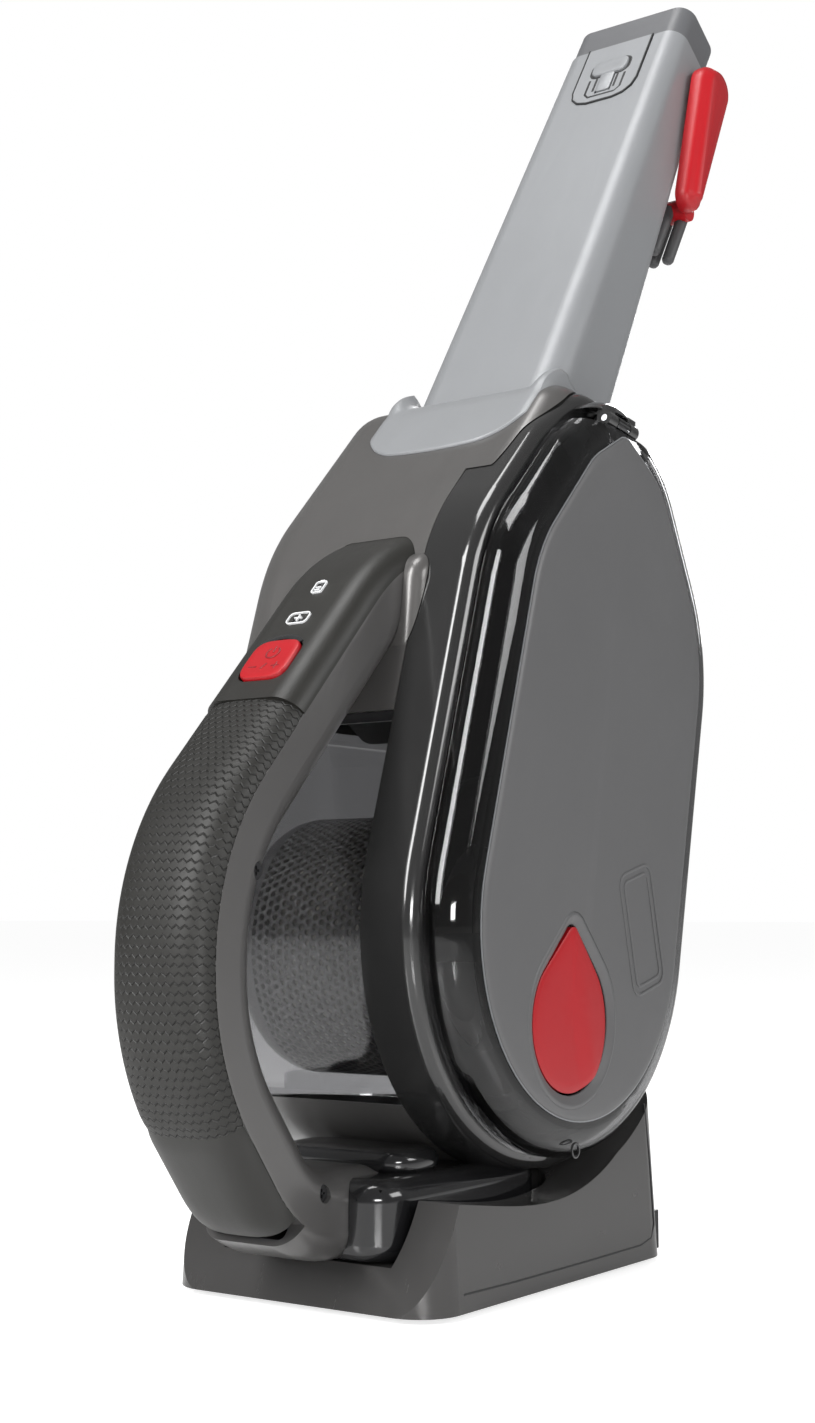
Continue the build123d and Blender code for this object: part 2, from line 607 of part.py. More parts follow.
def make_door():
    blank = cover_blank()
    gap = 0.35
    below = hinge_box(-80, 80, -60, 60, -400, -HINGE_R - gap)
    top = hinge_box(-80, 80, -60, 60, HINGE_R + gap, 100)
    cover = blank & below
    cover = biggest(cover)
    strap = hinge_box(-3.6, 3.6, -1.4, 2.4, -9.0, 0.0) + hinge_rod(-3.6, 3.6, HINGE_R)
    strap -= hinge_rod(-20, 20, PIN_R + 0.05)
    cover = cover + strap - hinge_rod(-20, 20, PIN_R + 0.05)
    cover -= latch_hole(0.6)
    x, z = LATCH_PIVOT
    for x0 in (x - 9.0, x + 6.6):
        lug = box(x0, x0 + 2.4, Y_DOOR + 2.3, Y_DOOR + 6.8, z - 1.2, z + 2.4)
        cover += lug - Pos(x, Y_DOOR + 4.6, z) * Rot(0, 90, 0) * Cylinder(1.0, 60)
    save("door_cover", biggest(cover))
    cap = biggest(blank & top)
    ears = hinge_rod(4.0, 9.0, HINGE_R) + hinge_rod(-9.0, -4.0, HINGE_R)
    ears += hinge_box(4.0, 9.0, -1.2, 2.4, 0, 4.0) + hinge_box(-9.0, -4.0, -1.2, 2.4, 0, 4.0)
    cap = cap + ears - hinge_rod(-20, 20, PIN_R)
    save("door_tip_cap", biggest(cap))
    save("door_hinge_pin", hinge_rod(-8.8, 8.8, PIN_R))
    panel = rounded_slab(hull(DROP, -1.0), Y_DOOR - 1.6, Y_DOOR - 0.02, 1.0, 0)
    panel &= hinge_box(-80, 80, -60, 60, -400, -HINGE_R - 1.4)
    panel -= latch_hole(4.5)
    save("door_panel", biggest(panel))
    bezel = slab(latch_outline(4.4), Y_DOOR - 1.4, Y_DOOR - 0.02) - latch_hole(0.6)
    bezel = biggest(bezel)
    save("latch_bezel", bezel)
    save("door_seal", biggest(slab(hull(DROP, G_FRAME - 8.2), Y_SPLIT + 0.1, Y_SPLIT + 3.0)
                              - slab(hull(DROP, G_FRAME - 10.4), -60, 0)))


LATCH = [(5.0, 76.5, 20.5), (6.0, 101.0, 3.0)]
LATCH_PIVOT = (6.0, 100.5)
LATCH_THICK = 3.6


def latch_outline(grow=0.0):
    return hull(LATCH, grow)


def latch_hole(gap):
    return slab(latch_outline(gap), Y_DOOR - 5, Y_DOOR + 8)


def make_latch():
    paddle = rounded_slab(latch_outline(), Y_DOOR - 1.2, Y_DOOR + LATCH_THICK - 1.2, 0.8, 0)
    x, z = LATCH_PIVOT
    knuckle = box(x - 2.2, x + 2.2, Y_DOOR + 2.4, Y_DOOR + 6.6, z - 2.0, z + 2.0)
    bore = Pos(x, Y_DOOR + 4.6, z) * Rot(0, 90, 0) * Cylinder(1.05, 60)
    paddle = paddle + knuckle - bore
    tongue = box(x - 6, x + 6, Y_DOOR + 2.0, Y_DOOR + 10.0, 58.5, 60.5)
    save("door_latch", biggest(paddle + tongue))
    save("latch_pin", Pos(x, Y_DOOR + 4.6, z) * Rot(0, 90, 0) * Cylinder(0.99, 17.6))


# ---------------------------------------------------------------- charging base
def base_profile(inset=0.0):
    """Side outline of the base wall, from the front toe round to the tall back."""
    i = inset
    toe = (BASE_FRONT + i, FLOOR_GAP + i)
    heel = (BASE_BACK - i, FLOOR_GAP + i)
    lines = [Line(heel, toe), Line(toe, (-46 + i, 30 - i)),
             Spline((-46 + i, 30 - i), (-20, 26.5 - i), (6, 25.5 - i), (30, 30.5 - i),
                    (52, 43 - i), (BASE_BACK - 7 - i * 0.5, BASE_TOP - i)),
             Line((BASE_BACK - 7 - i * 0.5, BASE_TOP - i), (BASE_BACK - 3 - i, BASE_TOP - i)),
             Line((BASE_BACK - 3 - i, BASE_TOP - i), heel)]
    return make_face(lines)


def base_block(inset):
    """Footprint with rounded corners, drawn in by inset and leaning in as it rises."""
    sketch = RectangleRounded(BASE_BACK - BASE_FRONT - 2 * inset, 2 * (BASE_HALF - inset), 13 - inset)
    plan = Plane.XY.offset(FLOOR_GAP - (1 if inset > 0 else 0)) * (Pos((BASE_FRONT + BASE_BACK) / 2, 0) * sketch)
    return extrude(plan, 70, taper=3)


def vacuum_room(gap=2.0):
    """Space the docked vacuum and its lift path need above the base."""
    room = slab(hull(DROP, G_FRAME + gap), -60, 60)
    room += box(-70, 95, -60, 60, 104, 300)
    return room


def seat_room(grow=0.0):
    """Cradle for the docking foot and the notch for the lower end of the handle."""
    seat = box(-60.5 - grow, 30 + grow, -32 - grow, 32 + grow, SEAT_Z - grow, 90)
    seat = fillet(seat.edges().filter_by(Axis.Z), 13)
    notch = hull([(-90, 31, 22 + grow), (-50, 34, 20 + grow), (-90, 90, 22 + grow)])
    return seat + slab(notch, -20 - grow, 20 + grow)


def make_base():
    shell = base_block(0) & slab(base_profile(), -60, 60)
    skin = 2.6
    well = base_block(skin) & slab(base_profile(skin), -60, 60)
    well += base_block(skin) & box(-100, 100, -60, 60, 0, FLOOR_GAP + skin)
    well -= seat_room(skin)
    well -= vacuum_room(2.0 + skin)
    shell -= biggest(well)
    shell -= vacuum_room()
    shell -= seat_room()
    for y in CONTACT_Y:
        shell -= Pos(CONTACT_X, y, 10) * Cylinder(2.3, 12)
    shell -= Pos(BASE_BACK - 4, JACK_Y, JACK_Z) * Rot(0, 90, 0) * Cylinder(4.2, 16)
    save("base_shell", biggest(shell))
    sketch = RectangleRounded(BASE_BACK - BASE_FRONT - 7, 2 * BASE_HALF - 7, 9.5)
    plate = extrude(Plane.XY.offset(FLOOR_GAP) * (Pos((BASE_FRONT + BASE_BACK) / 2, 0) * sketch), 2.4)
    for x, y in FEET:
        plate -= Pos(x, y, FLOOR_GAP + 0.4) * Cylinder(5.1, 0.8)
    save("base_plate", biggest(plate))
    save("base_feet", *[Pos(x, y, (FLOOR_GAP + 0.8) / 2) * Cylinder(5.0, FLOOR_GAP + 0.8) for x, y in FEET])
    tab = box(BASE_BACK - 3, BASE_BACK + 8, -TAB_HALF, -TAB_HALF + 16, 1.0, 13)
    tab += box(BASE_BACK - 3, BASE_BACK + 8, TAB_HALF - 16, TAB_HALF, 1.0, 13)
    tab -= base_block(-0.02)
    save("rear_tabs", *tab.solids())


FEET = [(-48, -33), (-48, 33), (58, -33), (58, 33), (0, 0)]
TAB_HALF = 38.0
JACK_Y, JACK_Z = 0.0, 8.5
JACK_BORE = 2.75


def make_base_electrics():
    x, y, z = BASE_BACK, JACK_Y, JACK_Z
    body = box(x - 14, x - 5.0, y - 4.5, y + 4.5, z - 4.4, z + 4.4)
    body += Pos(x - 3.2, y, z) * Rot(0, 90, 0) * Cylinder(4.1, 4.4)
    body -= Pos(x - 4, y, z) * Rot(0, 90, 0) * Cylinder(JACK_BORE, 16)
    save("charging_jack", body)
    board = box(-24, 40, -20, 20, 4.3, 5.7)
    save("base_board", board)
    pins, springs = [], []
    for cy in CONTACT_Y:
        pin = Pos(CONTACT_X, cy, SEAT_Z - 2.2) * Cylinder(2.0, 4.4)
        pin += Pos(CONTACT_X, cy, SEAT_Z - 3.9) * Cylinder(3.4, 1.0)
        pins.append(fillet(pin.edges().group_by(Axis.Z)[-1], 0.6))
        ring = Cylinder(2.6, 1.2) - Cylinder(2.1, 4)
        springs.append(Pos(CONTACT_X, cy, 6.35) * ring)
    save("contact_pin_left", pins[1])
    save("contact_pin_right", pins[0])
    save("contact_springs", *springs)
    pads = [box(CONTACT_X - 5, CONTACT_X + 5, cy - 4, cy + 4, SEAT_Z + 0.3, SEAT_Z + 1.8) for cy in CONTACT_Y]
    save("charging_pads", *pads)


def make_screws():
    shapes = []
    for x, z in HANDLE_SCREWS:
        screw = rod_y(x, z, 2.4, -15.6, -13.5) + rod_y(x, z, 1.2, -13.5, -9.2)
        screw -= Pos(x, -15.6, z) * Box(2.6, 1.2, 0.7) + Pos(x, -15.6, z) * Box(0.7, 1.2, 2.6)
        shapes.append(screw)
    save("handle_screws", *shapes)


split_hood()
save("bulkhead", make_bulkhead())
save("side_frame", make_frame())
save("dust_bowl", make_bowl())
save("lower_housing", make_tray())
save("bowl_catch", make_ledge())
save("docking_foot", make_foot())
make_handle()
make_controls()
make_battery()
make_screws()
make_nozzle()
make_nozzle_tools()
make_brush()
make_collar()
make_duct()
make_filter()
make_motor()
make_door()
make_latch()
make_base()
make_base_electrics()
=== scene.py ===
"""Looks of the handheld vacuum in its charging base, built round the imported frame.

Lengths are in millimetres until a mesh is made; MM turns them into metres.  +Z is up,
+X runs to the nozzle and the opening side door is at -Y.  The nozzle leans by TILT.
"""
import json
from math import ceil, cos, hypot, pi, radians, sin, sqrt, tan

import bmesh
import bpy
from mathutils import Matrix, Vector


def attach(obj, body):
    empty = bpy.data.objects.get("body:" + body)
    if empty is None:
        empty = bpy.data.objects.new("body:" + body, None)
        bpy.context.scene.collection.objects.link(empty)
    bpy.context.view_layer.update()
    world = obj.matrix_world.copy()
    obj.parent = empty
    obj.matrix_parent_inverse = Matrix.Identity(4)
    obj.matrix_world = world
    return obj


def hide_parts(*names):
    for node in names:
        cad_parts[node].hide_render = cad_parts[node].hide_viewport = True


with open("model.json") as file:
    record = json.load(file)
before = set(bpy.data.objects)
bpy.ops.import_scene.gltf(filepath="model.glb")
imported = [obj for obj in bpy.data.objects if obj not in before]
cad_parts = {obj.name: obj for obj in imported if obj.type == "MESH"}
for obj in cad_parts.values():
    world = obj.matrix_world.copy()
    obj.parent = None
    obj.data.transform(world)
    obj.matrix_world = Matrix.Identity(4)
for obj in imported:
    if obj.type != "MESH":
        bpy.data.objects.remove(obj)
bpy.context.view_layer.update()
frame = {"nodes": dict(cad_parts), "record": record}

MM = 0.001
TILT = radians(32)
U = Vector((sin(TILT), 0, cos(TILT)))        # up the nozzle
V = Vector((-cos(TILT), 0, sin(TILT)))       # out of the nozzle's front face
NODES = frame["nodes"]
EDGE_ANGLE = radians(35)                      # sharper edges than this stay crisp


# ------------------------------------------------------------------ shader groups
def new_group(name, inputs, outputs):
    """Empty shader group with float inputs {name: value} and outputs {name: socket type}."""
    group = bpy.data.node_groups.new(name, "ShaderNodeTree")
    for label, value in inputs.items():
        socket = group.interface.new_socket(label, in_out="INPUT", socket_type="NodeSocketFloat")
        socket.default_value = value
    for label, kind in outputs.items():
        group.interface.new_socket(label, in_out="OUTPUT", socket_type=kind)
    start = group.nodes.new("NodeGroupInput")
    end = group.nodes.new("NodeGroupOutput")
    return group, start, end


def math_node(tree, operation, a, b=None, clamp=False):
    node = tree.nodes.new("ShaderNodeMath")
    node.operation = operation
    node.use_clamp = clamp
    for socket, value in zip(node.inputs, (a, b)):
        if value is None:
            continue
        if isinstance(value, (int, float)):
            socket.default_value = value
        else:
            tree.links.new(value, socket)
    return node.outputs[0]


def noise_node(tree, where, scale, detail=2.0, roughness=0.5):
    node = tree.nodes.new("ShaderNodeTexNoise")
    tree.links.new(where, node.inputs["Vector"])
    node.inputs["Detail"].default_value = detail
    node.inputs["Roughness"].default_value = roughness
    if isinstance(scale, (int, float)):
        node.inputs["Scale"].default_value = scale
    else:
        tree.links.new(scale, node.inputs["Scale"])
    return node.outputs["Fac"]


def moulded_grain_group():
    """Fine spark texture of a moulding, and the slow drift of tone across it."""
    group, start, end = new_group("moulded_grain", {"Grain Scale": 1800.0, "Drift Scale": 14.0},
                                  {"Height": "NodeSocketFloat", "Tone": "NodeSocketFloat"})
    where = group.nodes.new("ShaderNodeTexCoord").outputs["Object"]
    grain = noise_node(group, where, start.outputs["Grain Scale"], 3.0, 0.6)
    drift = noise_node(group, where, start.outputs["Drift Scale"], 2.0)
    group.links.new(grain, end.inputs["Height"])
    group.links.new(drift, end.inputs["Tone"])
    return group


def handling_group():
    """Faint rubs and finger marks: a mask between 0 and 1."""
    group, start, end = new_group("handling_marks", {"Scale": 60.0, "Amount": 0.5},
                                  {"Mask": "NodeSocketFloat"})
    where = group.nodes.new("ShaderNodeTexCoord").outputs["Object"]
    stretch = group.nodes.new("ShaderNodeMapping")
    stretch.inputs["Scale"].default_value = (1.0, 3.2, 1.0)
    stretch.inputs["Rotation"].default_value = (0.4, 0.6, 0.2)
    group.links.new(where, stretch.inputs["Vector"])
    blotch = noise_node(group, stretch.outputs[0], start.outputs["Scale"], 5.0, 0.65)
    lifted = math_node(group, "SUBTRACT", blotch, 0.42)
    marks = math_node(group, "MULTIPLY", lifted, 2.4, clamp=True)
    mask = math_node(group, "MULTIPLY", marks, start.outputs["Amount"])
    group.links.new(mask, end.inputs["Mask"])
    return group


def settled_dust_group():
    """Thin dust that lies on faces turned upwards."""
    group, start, end = new_group("settled_dust", {"Amount": 0.3}, {"Mask": "NodeSocketFloat"})
    normal = group.nodes.new("ShaderNodeNewGeometry").outputs["Normal"]
    split = group.nodes.new("ShaderNodeSeparateXYZ")
    group.links.new(normal, split.inputs[0])
    where = group.nodes.new("ShaderNodeTexCoord").outputs["Object"]
    speckle = noise_node(group, where, 420.0, 4.0, 0.7)
    up = math_node(group, "POWER", math_node(group, "MAXIMUM", split.outputs["Z"], 0.0), 3.0)
    patch = math_node(group, "MULTIPLY", up, speckle)
    mask = math_node(group, "MULTIPLY", patch, start.outputs["Amount"])
    group.links.new(mask, end.inputs["Mask"])
    return group


def edge_wear_and_highlight_group():
    """Mask that rises on convex edges, where a moulding is made lighter in broken patches: partly
    rubbed wear, partly a painted highlight along the edges.
    """
    group, start, end = new_group("edge_wear_and_highlight_mask", {"Amount": 0.5}, {"Mask": "NodeSocketFloat"})
    point = group.nodes.new("ShaderNodeNewGeometry").outputs["Pointiness"]
    where = group.nodes.new("ShaderNodeTexCoord").outputs["Object"]
    broken = noise_node(group, where, 240.0, 4.0, 0.6)
    convex = math_node(group, "SUBTRACT", point, 0.52)
    sharp = math_node(group, "MULTIPLY", convex, 9.0, clamp=True)
    patch = math_node(group, "MULTIPLY", sharp, broken)
    mask = math_node(group, "MULTIPLY", patch, start.outputs["Amount"])
    group.links.new(mask, end.inputs["Mask"])
    return group


GRAIN = moulded_grain_group()
MARKS = handling_group()
DUST = settled_dust_group()
EDGE_WEAR_AND_HIGHLIGHT = edge_wear_and_highlight_group()


# ------------------------------------------------------------------ materials
MIX_FACTOR, MIX_LOW, MIX_HIGH, MIX_RESULT = 0, 6, 7, 2       # a colour Mix node's sockets
DUST_COLOUR = (0.55, 0.54, 0.52)
GRAIN_DEPTH = 0.0002                                         # metres
COAT_ROUGHNESS = 0.12


def place(tree, group, **values):
    node = tree.nodes.new("ShaderNodeGroup")
    node.node_tree = group
    for label, value in values.items():
        node.inputs[label.replace("_", " ")].default_value = value
    return node


def mix_colour(tree, mask, low, high):
    node = tree.nodes.new("ShaderNodeMix")
    node.data_type = "RGBA"
    tree.links.new(mask, node.inputs[MIX_FACTOR])
    for index, value in ((MIX_LOW, low), (MIX_HIGH, high)):
        socket = node.inputs[index]
        if isinstance(value, tuple):
            socket.default_value = (*value, 1.0)
        else:
            tree.links.new(value, socket)
    return node.outputs[MIX_RESULT]


def shade(colour, factor):
    return tuple(min(1.0, c * factor) for c in colour)


def new_material(name):
    material = bpy.data.materials.new(name)
    material.use_nodes = True
    tree = material.node_tree
    shader = tree.nodes["Principled BSDF"]
    return material, tree, shader


def moulded(name, colour, roughness, metallic=0.0, coat=0.0, grain=4200.0, bump=0.06,
            marks=0.08, dust=0.06, edge_wear_and_highlight=0.12):
    """Moulded plastic: drifting tone, grain, edges lightened partly as rubbed wear and partly as a
    painted highlight, finger marks and dust.
    """
    material, tree, shader = new_material(name)
    grain_node = place(tree, GRAIN, Grain_Scale=grain)
    base = mix_colour(tree, grain_node.outputs["Tone"], shade(colour, 0.90), shade(colour, 1.10))
    # Convex edges lifted towards almost twice the colour: partly rubbed wear, partly painted
    # highlight.
    lifted_edges = place(tree, EDGE_WEAR_AND_HIGHLIGHT, Amount=edge_wear_and_highlight)
    base = mix_colour(tree, lifted_edges.outputs["Mask"], base, shade(colour, 1.9))
    film = place(tree, DUST, Amount=dust)
    base = mix_colour(tree, film.outputs["Mask"], base, DUST_COLOUR)
    tree.links.new(base, shader.inputs["Base Color"])
    rub = place(tree, MARKS, Amount=marks)
    tree.links.new(math_node(tree, "ADD", rub.outputs["Mask"], roughness, clamp=True),
                   shader.inputs["Roughness"])
    relief = tree.nodes.new("ShaderNodeBump")
    relief.inputs["Strength"].default_value = bump
    relief.inputs["Distance"].default_value = GRAIN_DEPTH
    tree.links.new(grain_node.outputs["Height"], relief.inputs["Height"])
    tree.links.new(relief.outputs[0], shader.inputs["Normal"])
    shader.inputs["Metallic"].default_value = metallic
    shader.inputs["Coat Weight"].default_value = coat
    shader.inputs["Coat Roughness"].default_value = COAT_ROUGHNESS
    return material


def smoked_glass(name, colour, roughness):
    """Clear tinted polycarbonate with faint scuffs."""
    material, tree, shader = new_material(name)
    shader.inputs["Base Color"].default_value = (*colour, 1.0)
    shader.inputs["Transmission Weight"].default_value = 1.0
    shader.inputs["IOR"].default_value = 1.46
    rub = place(tree, MARKS, Amount=0.05)
    tree.links.new(math_node(tree, "ADD", rub.outputs["Mask"], roughness),
                   shader.inputs["Roughness"])
    return material


def brushed_metal(name, colour, roughness):
    """Metal with fine drawn lines."""
    material, tree, shader = new_material(name)
    where = tree.nodes.new("ShaderNodeTexCoord").outputs["Object"]
    stretch = tree.nodes.new("ShaderNodeMapping")
    stretch.inputs["Scale"].default_value = (1.0, 0.05, 1.0)
    tree.links.new(where, stretch.inputs["Vector"])
    lines = noise_node(tree, stretch.outputs[0], 2600.0, 3.0)
    tree.links.new(mix_colour(tree, lines, shade(colour, 0.8), shade(colour, 1.15)),
                   shader.inputs["Base Color"])
    tree.links.new(math_node(tree, "ADD", math_node(tree, "MULTIPLY", lines, 0.2), roughness),
                   shader.inputs["Roughness"])
    shader.inputs["Metallic"].default_value = 1.0
    return material


CHEVRON_WIDE, CHEVRON_TALL = 2.6, 2.1        # one chevron's cell, in millimetres
CHEVRON_SLOPE = 0.62
GROOVE_HALF = 0.36                           # half the pressed line's width
CHEVRON_DEPTH = 0.0003                       # metres


def chevron_rubber(name, colour):
    """Soft rubber embossed with rows of small chevrons, laid out in the UV map's millimetres, with
    painted shade darkening the pressed lines.
    """
    material, tree, shader = new_material(name)
    split = tree.nodes.new("ShaderNodeSeparateXYZ")
    tree.links.new(tree.nodes.new("ShaderNodeTexCoord").outputs["UV"], split.inputs[0])
    u, v = split.outputs["X"], split.outputs["Y"]
    row = math_node(tree, "FLOOR", math_node(tree, "DIVIDE", v, CHEVRON_TALL))
    odd = math_node(tree, "MODULO", row, 2.0)
    shifted = math_node(tree, "ADD", u, math_node(tree, "MULTIPLY", odd, CHEVRON_WIDE / 2))
    cell_u = math_node(tree, "MODULO", shifted, CHEVRON_WIDE)
    cell_u = math_node(tree, "SUBTRACT", cell_u, CHEVRON_WIDE / 2)
    cell_v = math_node(tree, "MODULO", v, CHEVRON_TALL)
    cell_v = math_node(tree, "SUBTRACT", cell_v, CHEVRON_TALL / 2)
    lean = math_node(tree, "MULTIPLY", math_node(tree, "ABSOLUTE", cell_u), CHEVRON_SLOPE)
    from_line = math_node(tree, "ADD", math_node(tree, "SUBTRACT", cell_v, lean), 0.25)
    from_line = math_node(tree, "DIVIDE", math_node(tree, "ABSOLUTE", from_line), GROOVE_HALF)
    groove = math_node(tree, "SUBTRACT", 1.0, from_line, clamp=True)
    relief = tree.nodes.new("ShaderNodeBump")
    relief.inputs["Strength"].default_value = 0.9
    relief.inputs["Distance"].default_value = CHEVRON_DEPTH
    relief.invert = True
    tree.links.new(groove, relief.inputs["Height"])
    tree.links.new(relief.outputs[0], shader.inputs["Normal"])
    rub = place(tree, MARKS, Amount=0.12)
    # Grooves darkened to a third of the rubber's colour: painted shade in the pressed lines.
    base = mix_colour(tree, groove, colour, shade(colour, 0.35))
    tree.links.new(mix_colour(tree, rub.outputs["Mask"], base, shade(colour, 1.7)),
                   shader.inputs["Base Color"])
    tree.links.new(math_node(tree, "ADD", rub.outputs["Mask"], 0.48), shader.inputs["Roughness"])
    return material


FINISHES = {
    "hood_grey": moulded("hood_grey", (0.120, 0.116, 0.113), 0.30, metallic=0.45, coat=0.3),
    "base_grey": moulded("base_grey", (0.070, 0.068, 0.067), 0.25, metallic=0.45, coat=0.4,
                         bump=0.04, edge_wear_and_highlight=0.0, dust=0.03, marks=0.04),
    "handle_grey": moulded("handle_grey", (0.125, 0.122, 0.120), 0.30, metallic=0.45, coat=0.3),
    "nozzle_grey": moulded("nozzle_grey", (0.255, 0.262, 0.272), 0.40, metallic=0.15, coat=0.05),
    "tool_grey": moulded("tool_grey", (0.11, 0.112, 0.118), 0.38),
    "red_plastic": moulded("red_plastic", (0.40, 0.0035, 0.0085), 0.38, edge_wear_and_highlight=0.05, dust=0.0,
                           marks=0.06),
    "grip_black": moulded("grip_black", (0.014, 0.0135, 0.0115), 0.42, grain=2600.0,
                          bump=0.12, dust=0.03),
    "grip_chevron": chevron_rubber("grip_chevron", (0.0125, 0.012, 0.0102)),
    "bristle_grey": moulded("bristle_grey", (0.06, 0.06, 0.062), 0.5),
    "red_mark": moulded("red_mark", (0.20, 0.004, 0.008), 0.4),
    "black_plastic": moulded("black_plastic", (0.012, 0.012, 0.013), 0.38, edge_wear_and_highlight=0.1),
    "black_gloss": moulded("black_gloss", (0.012, 0.012, 0.013), 0.12, coat=0.6, bump=0.01),
    "frame_black": moulded("frame_black", (0.018, 0.018, 0.018), 0.14, coat=0.6, bump=0.01),
    "smoked_clear": smoked_glass("smoked_clear", (0.60, 0.60, 0.61), 0.02),
    "smoked_door": smoked_glass("smoked_door", (0.26, 0.26, 0.265), 0.03),
    "panel_grey": moulded("panel_grey", (0.108, 0.108, 0.110), 0.42, bump=0.08, edge_wear_and_highlight=0.1),
    "white_print": moulded("white_print", (0.78, 0.79, 0.80), 0.35),
    "mesh_grey": moulded("mesh_grey", (0.10, 0.10, 0.102), 0.35, metallic=0.3),
    "filter_paper": moulded("filter_paper", (0.62, 0.60, 0.55), 0.85, grain=900.0, bump=0.5),
    "rubber_black": moulded("rubber_black", (0.018, 0.018, 0.018), 0.62, bump=0.15),
    "steel": brushed_metal("steel", (0.58, 0.58, 0.60), 0.22),
    "brass": brushed_metal("brass", (0.78, 0.60, 0.28), 0.20),
    "copper_core": brushed_metal("copper_core", (0.42, 0.22, 0.12), 0.35),
    "cell_wrap": moulded("cell_wrap", (0.05, 0.16, 0.36), 0.30, coat=0.3),
    "board_green": moulded("board_green", (0.02, 0.13, 0.06), 0.30, coat=0.4),
}
NODE_SLOT = {entry["node"]: entry["material_slot"] for entry in frame["record"]["subparts"]}

# The handle's screws take black plastic so they read as dark holes: painted shade in the screw
# holes.
OWN_FINISH = {"handle_screws": "black_plastic", "indicator_lenses": "black_gloss",
              "door_tip_cap": "frame_black", "door_cover": "smoked_door"}

for node_name, node in NODES.items():
    node.data.materials.clear()
    node.data.materials.append(FINISHES[OWN_FINISH.get(node_name, NODE_SLOT[node_name])])


# ------------------------------------------------------------------ mesh helpers
def add_piece(name, points, faces, body, slot, cad=(), finish=None):
    """Mesh piece from points in millimetres, riding on a body."""
    mesh = bpy.data.meshes.new(name)
    mesh.from_pydata([Vector(p) * MM for p in points], [], faces)
    work = bmesh.new()
    work.from_mesh(mesh)
    bmesh.ops.recalc_face_normals(work, faces=work.faces)
    work.to_mesh(mesh)
    work.free()
    mesh.materials.append(FINISHES[finish or slot])
    obj = bpy.data.objects.new(name, mesh)
    bpy.context.scene.collection.objects.link(obj)
    soften(obj, EDGE_ANGLE)
    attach(obj, body)
    if cad:
        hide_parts(*cad)
    return obj


def soften(obj, angle):
    """Smooth shading that keeps edges sharper than the angle."""
    for face in obj.data.polygons:
        face.use_smooth = True
    obj.data.set_sharp_from_angle(angle=angle)


def bridge(rings, ends=True, closed=True):
    """Points and faces of a skin over rings with equal point counts."""
    count = len(rings[0])
    points = [p for ring in rings for p in ring]
    faces = []
    for r in range(len(rings) - 1):
        for i in range(count if closed else count - 1):
            j = (i + 1) % count
            faces.append((r * count + i, r * count + j, (r + 1) * count + j, (r + 1) * count + i))
    if ends:
        faces.append(tuple(reversed(range(count))))
        last = (len(rings) - 1) * count
        faces.append(tuple(last + i for i in range(count)))
    return points, faces


def ring_skin(rings):
    """Skin over a loop of rings that closes on itself, such as a bezel's section."""
    points, faces = bridge(rings, ends=False)
    count, last = len(rings[0]), (len(rings) - 1) * len(rings[0])
    for i in range(count):
        j = (i + 1) % count
        faces.append((last + i, last + j, j, i))
    return points, faces


def hull_ring(circles, grow, y, steps=144):
    """Outline round a hull of (x, z, radius) circles, with the same points for any grow."""
    ring = []
    for i in range(steps):
        a = 2 * pi * i / steps
        far = max(circles, key=lambda c: c[0] * cos(a) + c[1] * sin(a) + c[2])
        ring.append((far[0] + (far[2] + grow) * cos(a), y, far[1] + (far[2] + grow) * sin(a)))
    return ring


def scaled(circles, factor):
    return [(x, z, r * factor) for x, z, r in circles]


def at(s, t, y=0.0):
    """Point s along the nozzle and t out towards its front face."""
    return U * s + V * t + Vector((0, y, 0))


LINE_ROOT = 0.3                              # how far a raised line reaches into its face


def relief_lines(name, lines, origin, across, up, width, height, body, slot, finish=None):
    """Raised lines on a face: each line is a list of (a, b) points in the face's directions."""
    origin, across, up = Vector(origin), Vector(across).normalized(), Vector(up).normalized()
    out = across.cross(up)
    points, faces = [], []
    for line in lines:
        closed = line[0] == line[-1]
        path = [Vector((a, b)) for a, b in (line[:-1] if closed else line)]
        count = len(path)
        rings = []
        for i, p in enumerate(path):
            before = path[i - 1] if closed or i > 0 else p
            after = path[(i + 1) % count] if closed or i < count - 1 else p
            way = (after - before).normalized()
            side = Vector((-way.y, way.x)) * (width / 2)
            low = [p - side, p + side]
            ring = [origin + across * q.x + up * q.y + out * h
                    for q, h in ((low[0], -LINE_ROOT), (low[0], height * 0.7),
                                 (low[0] * 0.8 + low[1] * 0.2, height),
                                 (low[0] * 0.2 + low[1] * 0.8, height),
                                 (low[1], height * 0.7), (low[1], -LINE_ROOT))]
            rings.append(ring)
        if closed:
            pts, fcs = ring_skin(rings)
        else:
            pts, fcs = bridge(rings)
        base = len(points)
        points += pts
        faces += [tuple(base + i for i in f) for f in fcs]
    return add_piece(name, points, faces, body, slot, finish=finish)


def rounded_box_line(w, h, r, a0=0.0, b0=0.0, steps=6):
    """Closed line round a rectangle with rounded corners."""
    line = []
    for cx, cy, start in ((w / 2 - r, h / 2 - r, 0), (-w / 2 + r, h / 2 - r, 90),
                          (-w / 2 + r, -h / 2 + r, 180), (w / 2 - r, -h / 2 + r, 270)):
        for k in range(steps + 1):
            a = radians(start + 90 * k / steps)
            line.append((a0 + cx + r * cos(a), b0 + cy + r * sin(a)))
    return line + [line[0]]


def arc_line(r, a0, a1, x=0.0, y=0.0, steps=20):
    return [(x + r * cos(radians(a0 + (a1 - a0) * k / steps)),
             y + r * sin(radians(a0 + (a1 - a0) * k / steps))) for k in range(steps + 1)]


# ------------------------------------------------------------------ side door
DROP = [(14.5, 104.0, 57.5), (37.0, 187.0, 54.0), (42.0, 222.0, 33.0), (42.0, 251.0, 7.4)]
LATCH = [(5.0, 76.5, 20.5), (6.0, 101.0, 3.0)]
LATCH_STEPS = 96
DOOR_FACE = -50.0


